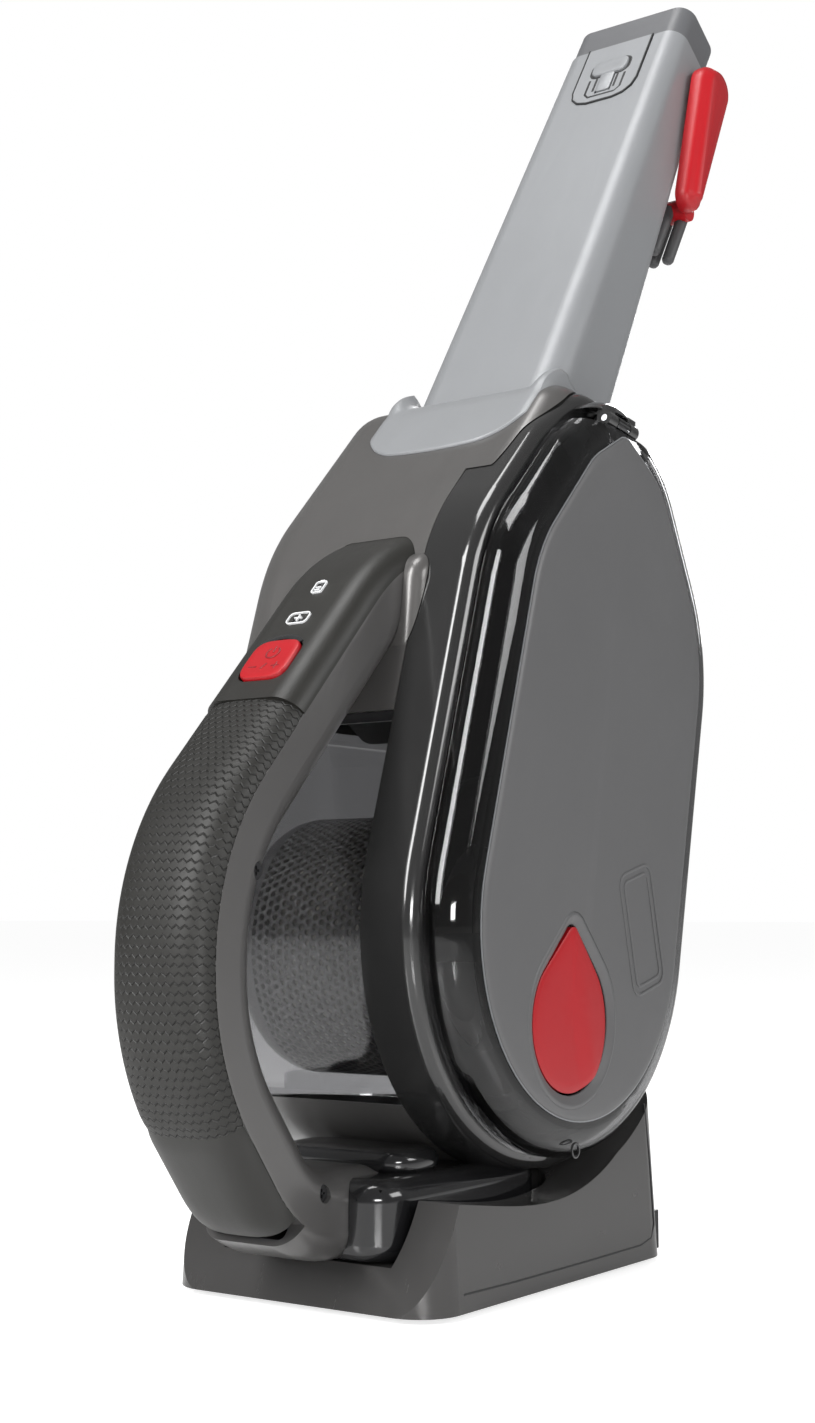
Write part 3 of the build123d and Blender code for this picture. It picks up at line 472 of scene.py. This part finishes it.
def cut_with(obj, points, faces):
    """Take a closed shape out of a piece for good."""
    mesh = bpy.data.meshes.new("cutter")
    mesh.from_pydata([Vector(p) * MM for p in points], [], faces)
    work = bmesh.new()
    work.from_mesh(mesh)
    bmesh.ops.recalc_face_normals(work, faces=work.faces)
    work.to_mesh(mesh)
    work.free()
    cutter = bpy.data.objects.new("cutter", mesh)
    bpy.context.scene.collection.objects.link(cutter)
    trim = obj.modifiers.new("trim", "BOOLEAN")
    trim.operation, trim.object, trim.solver = "DIFFERENCE", cutter, "EXACT"
    graph = bpy.context.evaluated_depsgraph_get()
    result = bpy.data.meshes.new_from_object(obj.evaluated_get(graph))
    obj.modifiers.remove(trim)
    obj.data = result
    bpy.data.objects.remove(cutter)
    soften(obj, EDGE_ANGLE)


def make_door_panel():
    """Crowned grey centre of the door, with an opening for the latch."""
    rings = [hull_ring(DROP, -1.0, DOOR_FACE - 0.03), hull_ring(DROP, -1.05, DOOR_FACE - 0.5),
             hull_ring(DROP, -1.5, DOOR_FACE - 0.86), hull_ring(DROP, -2.4, DOOR_FACE - 1.08),
             hull_ring(DROP, -4.0, DOOR_FACE - 1.2)]
    for factor, lift in ((0.80, 1.24), (0.60, 1.28), (0.40, 1.32), (0.20, 1.34), (0.04, 1.35)):
        rings.append(hull_ring(scaled(DROP, factor), -4.0 * factor, DOOR_FACE - lift))
    panel = add_piece("door_centre", *bridge(rings), "door", "panel_grey", cad=("door_panel",))
    hole = bridge([hull_ring(LATCH, 4.5, y, LATCH_STEPS) for y in (-56.0, -44.0)])
    cut_with(panel, *hole)


def make_latch_surround():
    """Bevelled recess round the latch."""
    section = ((4.45, -50.05), (4.45, -51.2), (4.1, -51.5), (3.5, -51.58), (2.9, -51.4),
               (1.3, -50.5), (0.8, -50.3), (0.65, -49.9), (0.65, -47.8), (2.0, -47.8),
               (2.0, -50.05))
    rings = [hull_ring(LATCH, grow, y, LATCH_STEPS) for grow, y in section]
    add_piece("latch_surround", *ring_skin(rings), "door", "panel_grey", cad=("latch_bezel",))


def make_latch_paddle():
    """Red teardrop with a ridge from its tip to its lower right."""
    tip, foot, middle = Vector((6.0, 103.0)), Vector((16.5, 62.0)), Vector((6.0, 82.0))
    way = (foot - tip).normalized()

    def face(point):
        offset = Vector((point[0], point[2])) - tip
        side = way.x * offset.y - way.y * offset.x
        fall = 0.085 * side if side > 0 else -0.16 * side
        return -51.55 + min(fall, 1.15)

    rings = [hull_ring(LATCH, -0.3, -47.6, LATCH_STEPS), hull_ring(LATCH, 0.0, -49.4, LATCH_STEPS)]
    for factor, sink in ((1.0, 0.35), (0.97, 0.12), (0.90, 0.0), (0.7, 0.0), (0.5, 0.0),
                         (0.3, 0.0), (0.1, 0.0)):
        ring = []
        for x, _, z in hull_ring(LATCH, 0.0, 0.0, LATCH_STEPS):
            p = (middle.x + (x - middle.x) * factor, 0.0, middle.y + (z - middle.y) * factor)
            ring.append((p[0], face(p) + sink, p[2]))
        rings.append(ring)
    add_piece("latch_paddle", *bridge(rings), "latch", "red_plastic", cad=("door_latch",))


def make_door_marks():
    """Generic raised frame, keyhole mark and the thin bright line round the panel, a painted
    highlight on the clear rim.
    """
    a = radians(-76)
    relief_lines("door_badge_frame",
                 [rounded_box_line(38, 20, 4.2), rounded_box_line(33, 15, 2.4)],
                 (47.0, -51.26, 103.0), (cos(a), 0, sin(a)), (-sin(a), 0, cos(a)),
                 0.9, 0.32, "door", "panel_grey")
    circle = arc_line(2.0, 0, 360)[:-1]
    relief_lines("door_pin_mark", [circle + circle[:1]],
                 (7.0, -50.35, 39.6), (1, 0, 0), (0, 0, 1), 0.7, 0.25, "door", "smoked_clear",
                 finish="black_gloss")
    # Thin light grey ring round the panel's edge: painted highlight along the clear rim.
    rings = [hull_ring(DROP, grow, y) for grow, y in
             ((-0.95, -50.05), (-0.60, -50.05), (-0.60, -50.35), (-0.95, -50.35))]
    add_piece("panel_edge_highlight", *ring_skin(rings), "door", "panel_grey", finish="nozzle_grey")


# ------------------------------------------------------------------ handle
ROUTE = [(-12, 211.5), (-33, 202.5), (-108.5, 122), (-108.5, 71), (-74, 25.6), (-22, 25.6)]
BENDS = [60, 66, 66, 33]
HALF_W, HALF_D, BAND = 17.0, 12.0, 7.0


def rounded_route(step=2.0):
    """Points and directions down the middle of the handle loop, every step or so."""
    corners = [Vector(p) for p in ROUTE]
    points = [corners[0]]
    for before, corner, after, radius in zip(corners, corners[1:], corners[2:], BENDS):
        a, b = (before - corner).normalized(), (after - corner).normalized()
        half = a.angle(b) / 2
        run = radius / tan(half)
        centre = corner + (a + b).normalized() * (radius / sin(half))
        start, end = corner + a * run - centre, corner + b * run - centre
        turn = start.angle(end)
        pieces = max(4, ceil(radius * turn / step))
        for k in range(pieces + 1):
            f = k / pieces
            points.append(centre + (start * sin((1 - f) * turn) + end * sin(f * turn)) / sin(turn))
    points.append(corners[-1])
    dense = []
    for p, q in zip(points, points[1:]):
        pieces = max(1, ceil((q - p).length / step))
        dense += [p + (q - p) * (k / pieces) for k in range(pieces)]
    dense.append(points[-1])
    return dense


LOOP = rounded_route()


def loop_frame(i):
    """Middle point and inward normal at one step of the loop."""
    before, after = LOOP[max(i - 1, 0)], LOOP[min(i + 1, len(LOOP) - 1)]
    way = (after - before).normalized()
    return LOOP[i], Vector((-way.y, way.x))


def nearest_step(x, z):
    return min(range(len(LOOP)), key=lambda i: (LOOP[i] - Vector((x, z))).length)


def band_section(steps=30):
    """Closed section of the soft cover: outer curve, then the inner one back."""
    outer, inner = [], []
    for k in range(steps + 1):
        a = radians(8 + 164 * k / steps)
        c, s = cos(a), sin(a)
        y = HALF_W * (abs(c) ** 0.62) * (1 if c > 0 else -1)
        d = -(HALF_D * abs(s) ** 0.62)
        outer.append((y, min(d, -HALF_D + BAND)))
        inner.append((y * 0.90, min(d + 1.7, -HALF_D + BAND)))
    return outer + inner[::-1]


def sweep_band(name, first, last, cad, finish):
    """Soft cover between two steps of the loop, with lengths in its UV map."""
    section = band_section()
    rings, run, length = [], [], 0.0
    steps = list(range(first, last + 1))
    for n, i in enumerate(steps):
        middle, inward = loop_frame(i)
        if n:
            length += (LOOP[i] - LOOP[i - 1]).length
        run.append(length)
        from_end = min(n, len(steps) - 1 - n)
        sink = (0.5, 0.15)[from_end] if from_end < 2 else 0.0
        rings.append([(middle.x + inward.x * (d + sink), y * (1 - sink * 0.02),
                       middle.y + inward.y * (d + sink)) for y, d in section])
    piece = add_piece(name, *bridge(rings), "vacuum", "grip_black", cad=cad, finish=finish)
    around, total = [0.0], 0.0
    for p, q in zip(section, section[1:]):
        total += hypot(q[0] - p[0], q[1] - p[1])
        around.append(total)
    uv = piece.data.uv_layers.new(name="lengths")
    count = len(section)
    for loop in piece.data.loops:
        ring, step = divmod(loop.vertex_index, count)
        uv.data[loop.index].uv = (around[step], run[ring])


PANEL_END = nearest_step(-84, 167)
PAD_START = nearest_step(-107, 50)
PAD_END = nearest_step(-80, 27)
PANEL_LEAN = radians(47)
PRESS = Vector((sin(PANEL_LEAN), 0, -cos(PANEL_LEAN)))       # into the control panel
UP_PANEL = Vector((cos(PANEL_LEAN), 0, sin(PANEL_LEAN)))     # up along the control panel
BUTTON = Vector((-72.5, 0, 178.4))


def panel_point(up, y, out):
    return BUTTON + UP_PANEL * up + Vector((0, y, 0)) - PRESS * out


def make_grip():
    sweep_band("soft_grip", PANEL_END, PAD_START, ("grip_cover",), "grip_chevron")
    sweep_band("lower_grip", PAD_START, PAD_END, ("lower_pad",), "grip_black")


def button_ring(half, out, power=4.0, steps=48):
    ring = []
    for i in range(steps):
        a = 2 * pi * i / steps
        c, s = cos(a), sin(a)
        k = half / (abs(c) ** power + abs(s) ** power) ** (1 / power)
        ring.append(panel_point(k * s, k * c, out))
    return ring


def make_power_key():
    """Rounded square key, dished in the middle, with the power and speed symbols."""
    rings = [button_ring(half, out) for half, out in
             ((8.1, -4.0), (8.1, 0.1), (7.9, 0.45), (7.3, 0.66), (6.0, 0.62), (4.0, 0.5),
              (2.0, 0.44), (0.5, 0.42))]
    add_piece("power_key", *bridge(rings), "power", "red_plastic", cad=("power_button",))
    lines = [arc_line(2.2, 125, 415, 0, 2.4), [(0, 2.6), (0, 5.0)],
             [(-5.6, -3.4), (-2.8, -3.4)], [(-0.9, -4.4), (0.4, -2.2)],
             [(2.6, -3.4), (5.4, -3.4)], [(4.0, -4.8), (4.0, -2.0)]]
    relief_lines("power_key_symbols", lines, panel_point(0, 0, 0.42), (0, -1, 0), UP_PANEL,
                 0.5, 0.22, "power", "red_plastic", finish="red_mark")


def make_panel_marks():
    """Battery and plus symbols over the light windows, and a dark crescent above the key: painted
    shade of the recess there.
    """
    battery = [rounded_box_line(3.6, 4.8, 0.6, 0, 32.3), [(-0.8, 35.1), (0.8, 35.1)],
               [(-1.0, 31.0), (1.0, 31.0)], [(-1.0, 32.1), (1.0, 32.1)]]
    plus = [rounded_box_line(7.2, 4.6, 1.4, 0, 18.3), [(-1.3, 18.3), (1.3, 18.3)],
            [(0, 17.0), (0, 19.6)]]
    relief_lines("charge_symbols", battery + plus, panel_point(0, 0, -0.1), (0, -1, 0), UP_PANEL,
                 0.42, 0.3, "vacuum", "white_print")
    # Black crescent laid on the panel above the key: painted shade of the recess there.
    recess_shade_arc = [(9.4 * sin(radians(a)), 1.2 + 8.6 * cos(radians(a))) for a in range(-48, 49, 6)]
    relief_lines("key_recess_shade", [recess_shade_arc], panel_point(0, 0, -0.1), (0, -1, 0), UP_PANEL,
                 1.9, 0.22, "vacuum", "grip_black", finish="black_gloss")


# ------------------------------------------------------------------ perforated pre-filter
FILTER_X, FILTER_Z, FILTER_R = 3.0, 98.0, 39.5
FILTER_NEAR, FILTER_FAR = -16.0, 45.0
DOME = 8.0                                   # rounding of the drum's far end


def make_filter_drum():
    """Drum of hexagonal cells with a round hole in each, plain rims and a domed far end."""
    pitch, hole = 2.95, 0.98
    columns = round(2 * pi * FILTER_R / pitch)
    pitch = 2 * pi * FILTER_R / columns
    rise = pitch * sqrt(3) / 2
    start, stop = FILTER_NEAR + 6.0, FILTER_FAR - DOME
    rows = int((stop - start) / rise)
    points, faces = [], []
    index = {}

    def vertex(u, y):
        key = (round(u * 500) % round(2 * pi * FILTER_R * 500), round(y * 500))
        if key not in index:
            a = u / FILTER_R
            index[key] = len(points)
            points.append((FILTER_X + FILTER_R * cos(a), y, FILTER_Z + FILTER_R * sin(a)))
        return index[key]

    for row in range(rows):
        for column in range(columns):
            u = (column + 0.5 * (row % 2)) * pitch
            y = start + (row + 0.5) * rise
            corner = [(u + pitch / sqrt(3) * cos(radians(30 + 60 * k)),
                       y + pitch / sqrt(3) * sin(radians(30 + 60 * k))) for k in range(6)]
            for k in range(6):
                a0, a1 = radians(30 + 60 * k), radians(90 + 60 * k)
                mid = (a0 + a1) / 2
                p, q = corner[k], corner[(k + 1) % 6]
                h0 = (u + hole * cos(a0), y + hole * sin(a0))
                hm = (u + hole * cos(mid), y + hole * sin(mid))
                h1 = (u + hole * cos(a1), y + hole * sin(a1))
                faces.append((vertex(*p), vertex(*q), vertex(*h1), vertex(*hm), vertex(*h0)))
    drum = add_piece("filter_drum", points, faces, "vacuum", "mesh_grey", cad=("prefilter_mesh",))
    thick = drum.modifiers.new("sheet", "SOLIDIFY")
    thick.thickness = 0.9 * MM
    thick.offset = -1.0

    def circle(r, y):
        return [(FILTER_X + r * cos(2 * pi * i / 120), y, FILTER_Z + r * sin(2 * pi * i / 120))
                for i in range(120)]

    r = FILTER_R
    near = [circle(r + 0.05, FILTER_NEAR), circle(r + 0.05, start + 1.2),
            circle(r - 0.2, start + 1.5), circle(r - 1.3, start + 1.5),
            circle(r - 1.4, FILTER_NEAR)]
    add_piece("filter_drum_rim", *ring_skin(near), "vacuum", "mesh_grey")
    dome = [circle(r + 0.05, stop - 1.8), circle(r + 0.05, stop - 0.2)]
    for k in range(1, 7):
        a = radians(15 * k)
        dome.append(circle(r - DOME * (1 - cos(a)), stop + DOME * sin(a)))
    dome += [circle(r - 18, FILTER_FAR), circle(2.0, FILTER_FAR), circle(2.0, FILTER_FAR - 1.2),
             circle(r - 9, FILTER_FAR - 1.2), circle(r - 1.4, stop - 1.8)]
    add_piece("filter_drum_end", *ring_skin(dome), "vacuum", "mesh_grey")


# ------------------------------------------------------------------ brush
PIVOT = at(428, 95)
TAIL = at(380, 86)
BAR = at(380, 80.5)
ROD_STEPS, ROD_GAP = 14, 6.0


def make_yoke():
    """Two lobed arms and the bar between them."""
    mid = at(404, 90.5)
    outline = [(PIVOT.x, PIVOT.z, 9.6), (mid.x, mid.z, 7.0), (TAIL.x, TAIL.z, 5.6)]
    bulge = [(PIVOT.x, PIVOT.z, 6.6), (mid.x, mid.z, 3.6), (TAIL.x, TAIL.z, 2.0)]
    for side, name in ((-1, "yoke_arm_right"), (1, "yoke_arm_left")):
        rings = [hull_ring(outline, grow, side * y, 72) for grow, y in
                 ((-1.6, 26.7), (-0.2, 27.2), (0.0, 28.4), (0.0, 30.4), (-0.3, 31.6),
                  (-1.0, 32.5))]
        rings += [hull_ring(bulge, grow, side * y, 72) for grow, y in
                  ((1.4, 33.2), (0.6, 34.2), (0.0, 34.8), (-0.8, 35.2))]
        rings.append(hull_ring(scaled(bulge, 0.4), 0.0, side * 35.5, 72))
        add_piece(name, *bridge(rings), "brush", "red_plastic",
                  cad=("brush_yoke",) if side < 0 else ())

    def circle(y, r, steps=28):
        turns = [2 * pi * i / steps for i in range(steps)]
        return [BAR + U * (r * cos(a)) + V * (r * sin(a)) + Vector((0, y, 0)) for a in turns]

    rings = [circle(-27.6, 4.3), circle(-26.5, 4.4), circle(26.5, 4.4), circle(27.6, 4.3)]
    add_piece("yoke_bar", *bridge(rings), "brush", "red_plastic")


def make_bristles():
    """Thick rods in two rows, each with a rounded end."""
    points, faces = [], []
    for row, (dt, count) in enumerate(((-2.6, 9), (2.7, 8))):
        for k in range(count):
            y = -24.0 + ROD_GAP * (k + 0.5 * row)
            turns = [2 * pi * i / ROD_STEPS for i in range(ROD_STEPS)]
            rings = [[at(s, 80.5 + dt + r * sin(a), y + r * cos(a)) for a in turns] for s, r in
                     ((378.6, 2.35), (356.8, 2.25), (355.8, 1.9), (355.3, 1.2), (355.1, 0.3))]
            pts, fcs = bridge(rings)
            base = len(points)
            points += pts
            faces += [tuple(base + i for i in f) for f in fcs]
    add_piece("bristle_bundle", points, faces, "brush", "rubber_black", cad=("bristle_rods",),
              finish="bristle_grey")


# ------------------------------------------------------------------ collar apron
HOOD = [(-30.0, 148.0, 16.0), (35.5, 257.0, 19.0), (37.0, 187.0, 68.0), (42.0, 222.0, 47.0)]
HOOD_FRONT = 106.0                           # nearest the nozzle's line that the hood's face comes
APRON_HALF = 31.0
SCOOP_R = 16.2                               # corners of the apron's lower edge


def hood_profile():
    """Front face of the hood as (s, t) points, upwards along the nozzle."""
    ring = [Vector(p) for p in hull_ring(HOOD, 0.0, 0.0, 720)]
    return sorted((p.dot(U), p.dot(V)) for p in ring if p.dot(V) > HOOD_FRONT)


def height_at(profile, s):
    for (s0, t0), (s1, t1) in zip(profile, profile[1:]):
        if s0 <= s <= s1 and s1 > s0:
            return t0 + (t1 - t0) * (s - s0) / (s1 - s0)
    return HOOD_FRONT


def make_apron():
    """Light skirt over the top of the hood, scooped where the nozzle goes in."""
    profile = hood_profile()
    rows, spans, half = 26, 56, APRON_HALF
    across = [-half + 2 * half * j / spans for j in range(spans + 1)]
    columns = []
    for y in across:
        away = max(0.0, abs(y) - 15.0)
        low = 218.0 + SCOOP_R - sqrt(max(0.0, SCOOP_R ** 2 - away ** 2)) + 0.004 * y * y
        ear = max(0.0, min(1.0, (abs(y) - 23.0) / 5.0))
        ear = ear * ear * (3 - 2 * ear)
        top = 252.6 + 6.4 * ear
        column = []
        for i in range(rows + 1):
            s = low + (top - low) * i / rows
            hood = height_at(profile, s) + 0.8
            crest = 124.6 - 0.035 * max(0.0, s - 246) ** 2
            raised = max(hood, crest) if s > 238 else hood
            t = hood * (1 - ear) + raised * ear
            edge = max(0.0, abs(y) - (half - 3.0))
            t -= 3.0 - sqrt(max(0.0, 9.0 - edge * edge))
            column.append(at(s, t, y))
        columns.append(column)

    def side(y, drops):
        return [[at(236 + 22.0 * i / rows, 122.0 - drop, y) for i in range(rows + 1)]
                for drop in drops]

    drops = (9.0, 18.0, 27.0)
    skin = bridge(side(-half, drops[::-1]) + columns + side(half, drops), ends=False, closed=False)
    apron = add_piece("collar_apron", *skin, "vacuum", "nozzle_grey", cad=("nozzle_collar",))
    thick = apron.modifiers.new("sheet", "SOLIDIFY")
    thick.thickness = 1.4 * MM
    thick.offset = -1.0


# ------------------------------------------------------------------ nozzle front
FACE_T = 117.5


def make_release_key():
    """Rounded thumb pad of the tool release, with the dark gaps round it."""
    def ring(w, h, r, t, s0=426.0):
        return [at(s0 + b, t, a) for a, b in rounded_box_line(w, h, r)[:-1]]

    rings = [ring(15, 8, 3.0, FACE_T - 1.0), ring(15, 8, 3.0, FACE_T + 1.1),
             ring(14.4, 7.4, 2.7, FACE_T + 1.5), ring(13, 6, 2.0, FACE_T + 1.62),
             ring(8, 2.4, 0.8, FACE_T + 1.45)]
    add_piece("release_key", *bridge(rings), "release", "nozzle_grey", cad=("crevice_button",))
    stem = [ring(5.8, 11.6, 1.0, FACE_T - 1.0, 418.0), ring(5.8, 11.6, 1.0, FACE_T + 0.9, 418.0),
            ring(5.0, 10.8, 0.8, FACE_T + 1.1, 418.0)]
    add_piece("release_key_stem", *bridge(stem), "release", "nozzle_grey")
    slot = [(-7.4, 420.6), (-7.4, 412.4), (-5.6, 410.2), (5.6, 410.2), (7.4, 412.4), (7.4, 420.6)]
    inner = [[(-4.4, 420.8), (-4.4, 413.2)], [(4.4, 420.8), (4.4, 413.2)]]
    frame_line = [(-13.5, 441.0), (-13.5, 415.5), (-12.4, 411.2), (-9.6, 408.3), (-5.5, 407.0),
                  (5.5, 407.0), (9.6, 408.3), (12.4, 411.2), (13.5, 415.5), (13.5, 441.0)]
    pad_gap = rounded_box_line(16.2, 9.2, 3.5, 0, 426.0)
    relief_lines("release_gaps", [slot, pad_gap] + inner, at(0, FACE_T + 0.42), (0, -1, 0), U,
                 1.0, 0.12, "vacuum", "black_plastic")
    relief_lines("latch_panel_gap", [frame_line], at(0, FACE_T - 0.1), (0, -1, 0), U,
                 0.8, 0.72, "vacuum", "black_plastic")


# ------------------------------------------------------------------ ledge under the bowl
def make_ledge():
    """Glossy rounded ledge at the front of the lower housing."""
    rings = []
    for z, inset in ((35.0, 2.0), (36.5, 0.4), (38.5, 0.0), (40.3, 0.7), (41.5, 2.2),
                     (41.95, 4.5), (42.0, 8.0)):
        line = rounded_box_line(24 - 2 * inset, 48 - 2 * inset, 9.5 - inset * 0.9, -30.0)
        rings.append([(x, y, z) for x, y in line[:-1]])
    add_piece("catch_ledge", *bridge(rings), "vacuum", "black_gloss", cad=("bowl_catch",))


# ------------------------------------------------------------------ base
def make_base_grooves():
    """Dark parting grooves low on the side walls and up their rear edge."""
    lean = radians(3)                        # draft of the side walls
    path = ((-46, 5.0), (-20, 4.6), (20, 4.6), (52, 4.8), (59, 6.2), (61.5, 10), (61.0, 30),
            (59.6, 47))
    for side, name in ((-1, "base_groove_right"), (1, "base_groove_left")):
        line = [(side * -x, z) for x, z in path]
        relief_lines(name, [line], (0, side * 46.92, 1.5), (-side, 0, 0),
                     (0, -side * sin(lean), cos(lean)), 0.7, 0.10, "base", "black_plastic")


make_door_panel()
make_latch_surround()
make_latch_paddle()
make_door_marks()
make_grip()
make_power_key()
make_panel_marks()
make_filter_drum()
make_yoke()
make_bristles()
make_apron()
make_release_key()
make_ledge()
make_base_grooves()


# ------------------------------------------------------------------ studio
FLOOR_HALF = 30.0                            # metres; it runs out of sight
FLOOR_GLOW_SEEN, FLOOR_GLOW_CAST = 0.62, 0.12
AIR_DIMMED = 0.76                            # how much less the air lights than it shows


def add_floor():
    """Pale glossy floor that glows a little, so it reads as white."""
    mesh = bpy.data.meshes.new("floor")
    grid = bmesh.new()
    bmesh.ops.create_grid(grid, x_segments=8, y_segments=8, size=FLOOR_HALF)
    grid.to_mesh(mesh)
    floor = bpy.data.objects.new("floor", mesh)
    bpy.context.scene.collection.objects.link(floor)
    material, tree, shader = new_material("floor_white")
    where = tree.nodes.new("ShaderNodeTexCoord").outputs["Object"]
    cloud = noise_node(tree, where, 6.0)
    tree.links.new(mix_colour(tree, cloud, (0.90, 0.90, 0.90), (0.93, 0.93, 0.93)),
                   shader.inputs["Base Color"])
    shader.inputs["Roughness"].default_value = 0.14
    shader.inputs["Emission Color"].default_value = (1.0, 1.0, 1.0, 1.0)
    path = tree.nodes.new("ShaderNodeLightPath")
    glow = math_node(tree, "MULTIPLY", path.outputs["Is Camera Ray"], FLOOR_GLOW_SEEN)
    tree.links.new(math_node(tree, "ADD", glow, FLOOR_GLOW_CAST),
                   shader.inputs["Emission Strength"])
    mesh.materials.append(material)


def add_light(name, location, target, size, power):
    data = bpy.data.lights.new(name, "AREA")
    data.shape = "RECTANGLE"
    data.size, data.size_y = size
    data.energy = power
    lamp = bpy.data.objects.new(name, data)
    lamp.location = location
    lamp.rotation_euler = (Vector(target) - Vector(location)).to_track_quat("-Z", "Y").to_euler()
    bpy.context.scene.collection.objects.link(lamp)


def add_studio():
    """Floor, white air and five soft panels."""
    add_floor()
    world = bpy.data.worlds.new("studio_air")
    world.use_nodes = True
    tree = world.node_tree
    background = tree.nodes["Background"]
    background.inputs["Color"].default_value = (1.0, 1.0, 1.0, 1.0)
    path = tree.nodes.new("ShaderNodeLightPath")
    lit = math_node(tree, "ADD", path.outputs["Is Diffuse Ray"], path.outputs["Is Glossy Ray"],
                    clamp=True)
    dimmed = math_node(tree, "SUBTRACT", 1.0, math_node(tree, "MULTIPLY", lit, AIR_DIMMED))
    tree.links.new(dimmed, background.inputs["Strength"])
    bpy.context.scene.world = world
    add_light("key_panel", (-1.1, 0.25, 0.85), (0, 0, 0.2), (0.35, 1.1), 17.0)
    add_light("door_panel_light", (0.25, -1.5, 0.9), (0.02, 0, 0.2), (0.9, 0.5), 9.0)
    add_light("top_panel", (-0.2, 0.1, 1.4), (0, 0, 0.2), (0.5, 0.5), 6.0)
    add_light("rim_panel", (1.1, 0.5, 0.8), (0, 0, 0.25), (0.4, 0.9), 9.0)
    add_light("low_panel", (-0.75, -0.75, 0.22), (0.0, -0.02, 0.05), (0.30, 0.12), 3.2)
    bpy.context.scene.view_settings.view_transform = "Standard"


CAMERA_PLACE = (-0.4886, -0.3428, 0.1073)
CAMERA_TURN, CAMERA_PITCH = -54.6, 6.0       # degrees round from +Y, and above level
CAMERA_LENS = 49.13


def add_camera():
    data = bpy.data.cameras.new("view_camera")
    data.sensor_width = 36.0
    data.lens = CAMERA_LENS
    data.clip_start = 0.01
    camera = bpy.data.objects.new("view_camera", data)
    camera.location = CAMERA_PLACE
    camera.rotation_euler = (radians(90 + CAMERA_PITCH), 0, radians(CAMERA_TURN))
    bpy.context.scene.collection.objects.link(camera)
    bpy.context.scene.camera = camera


add_studio()
add_camera()
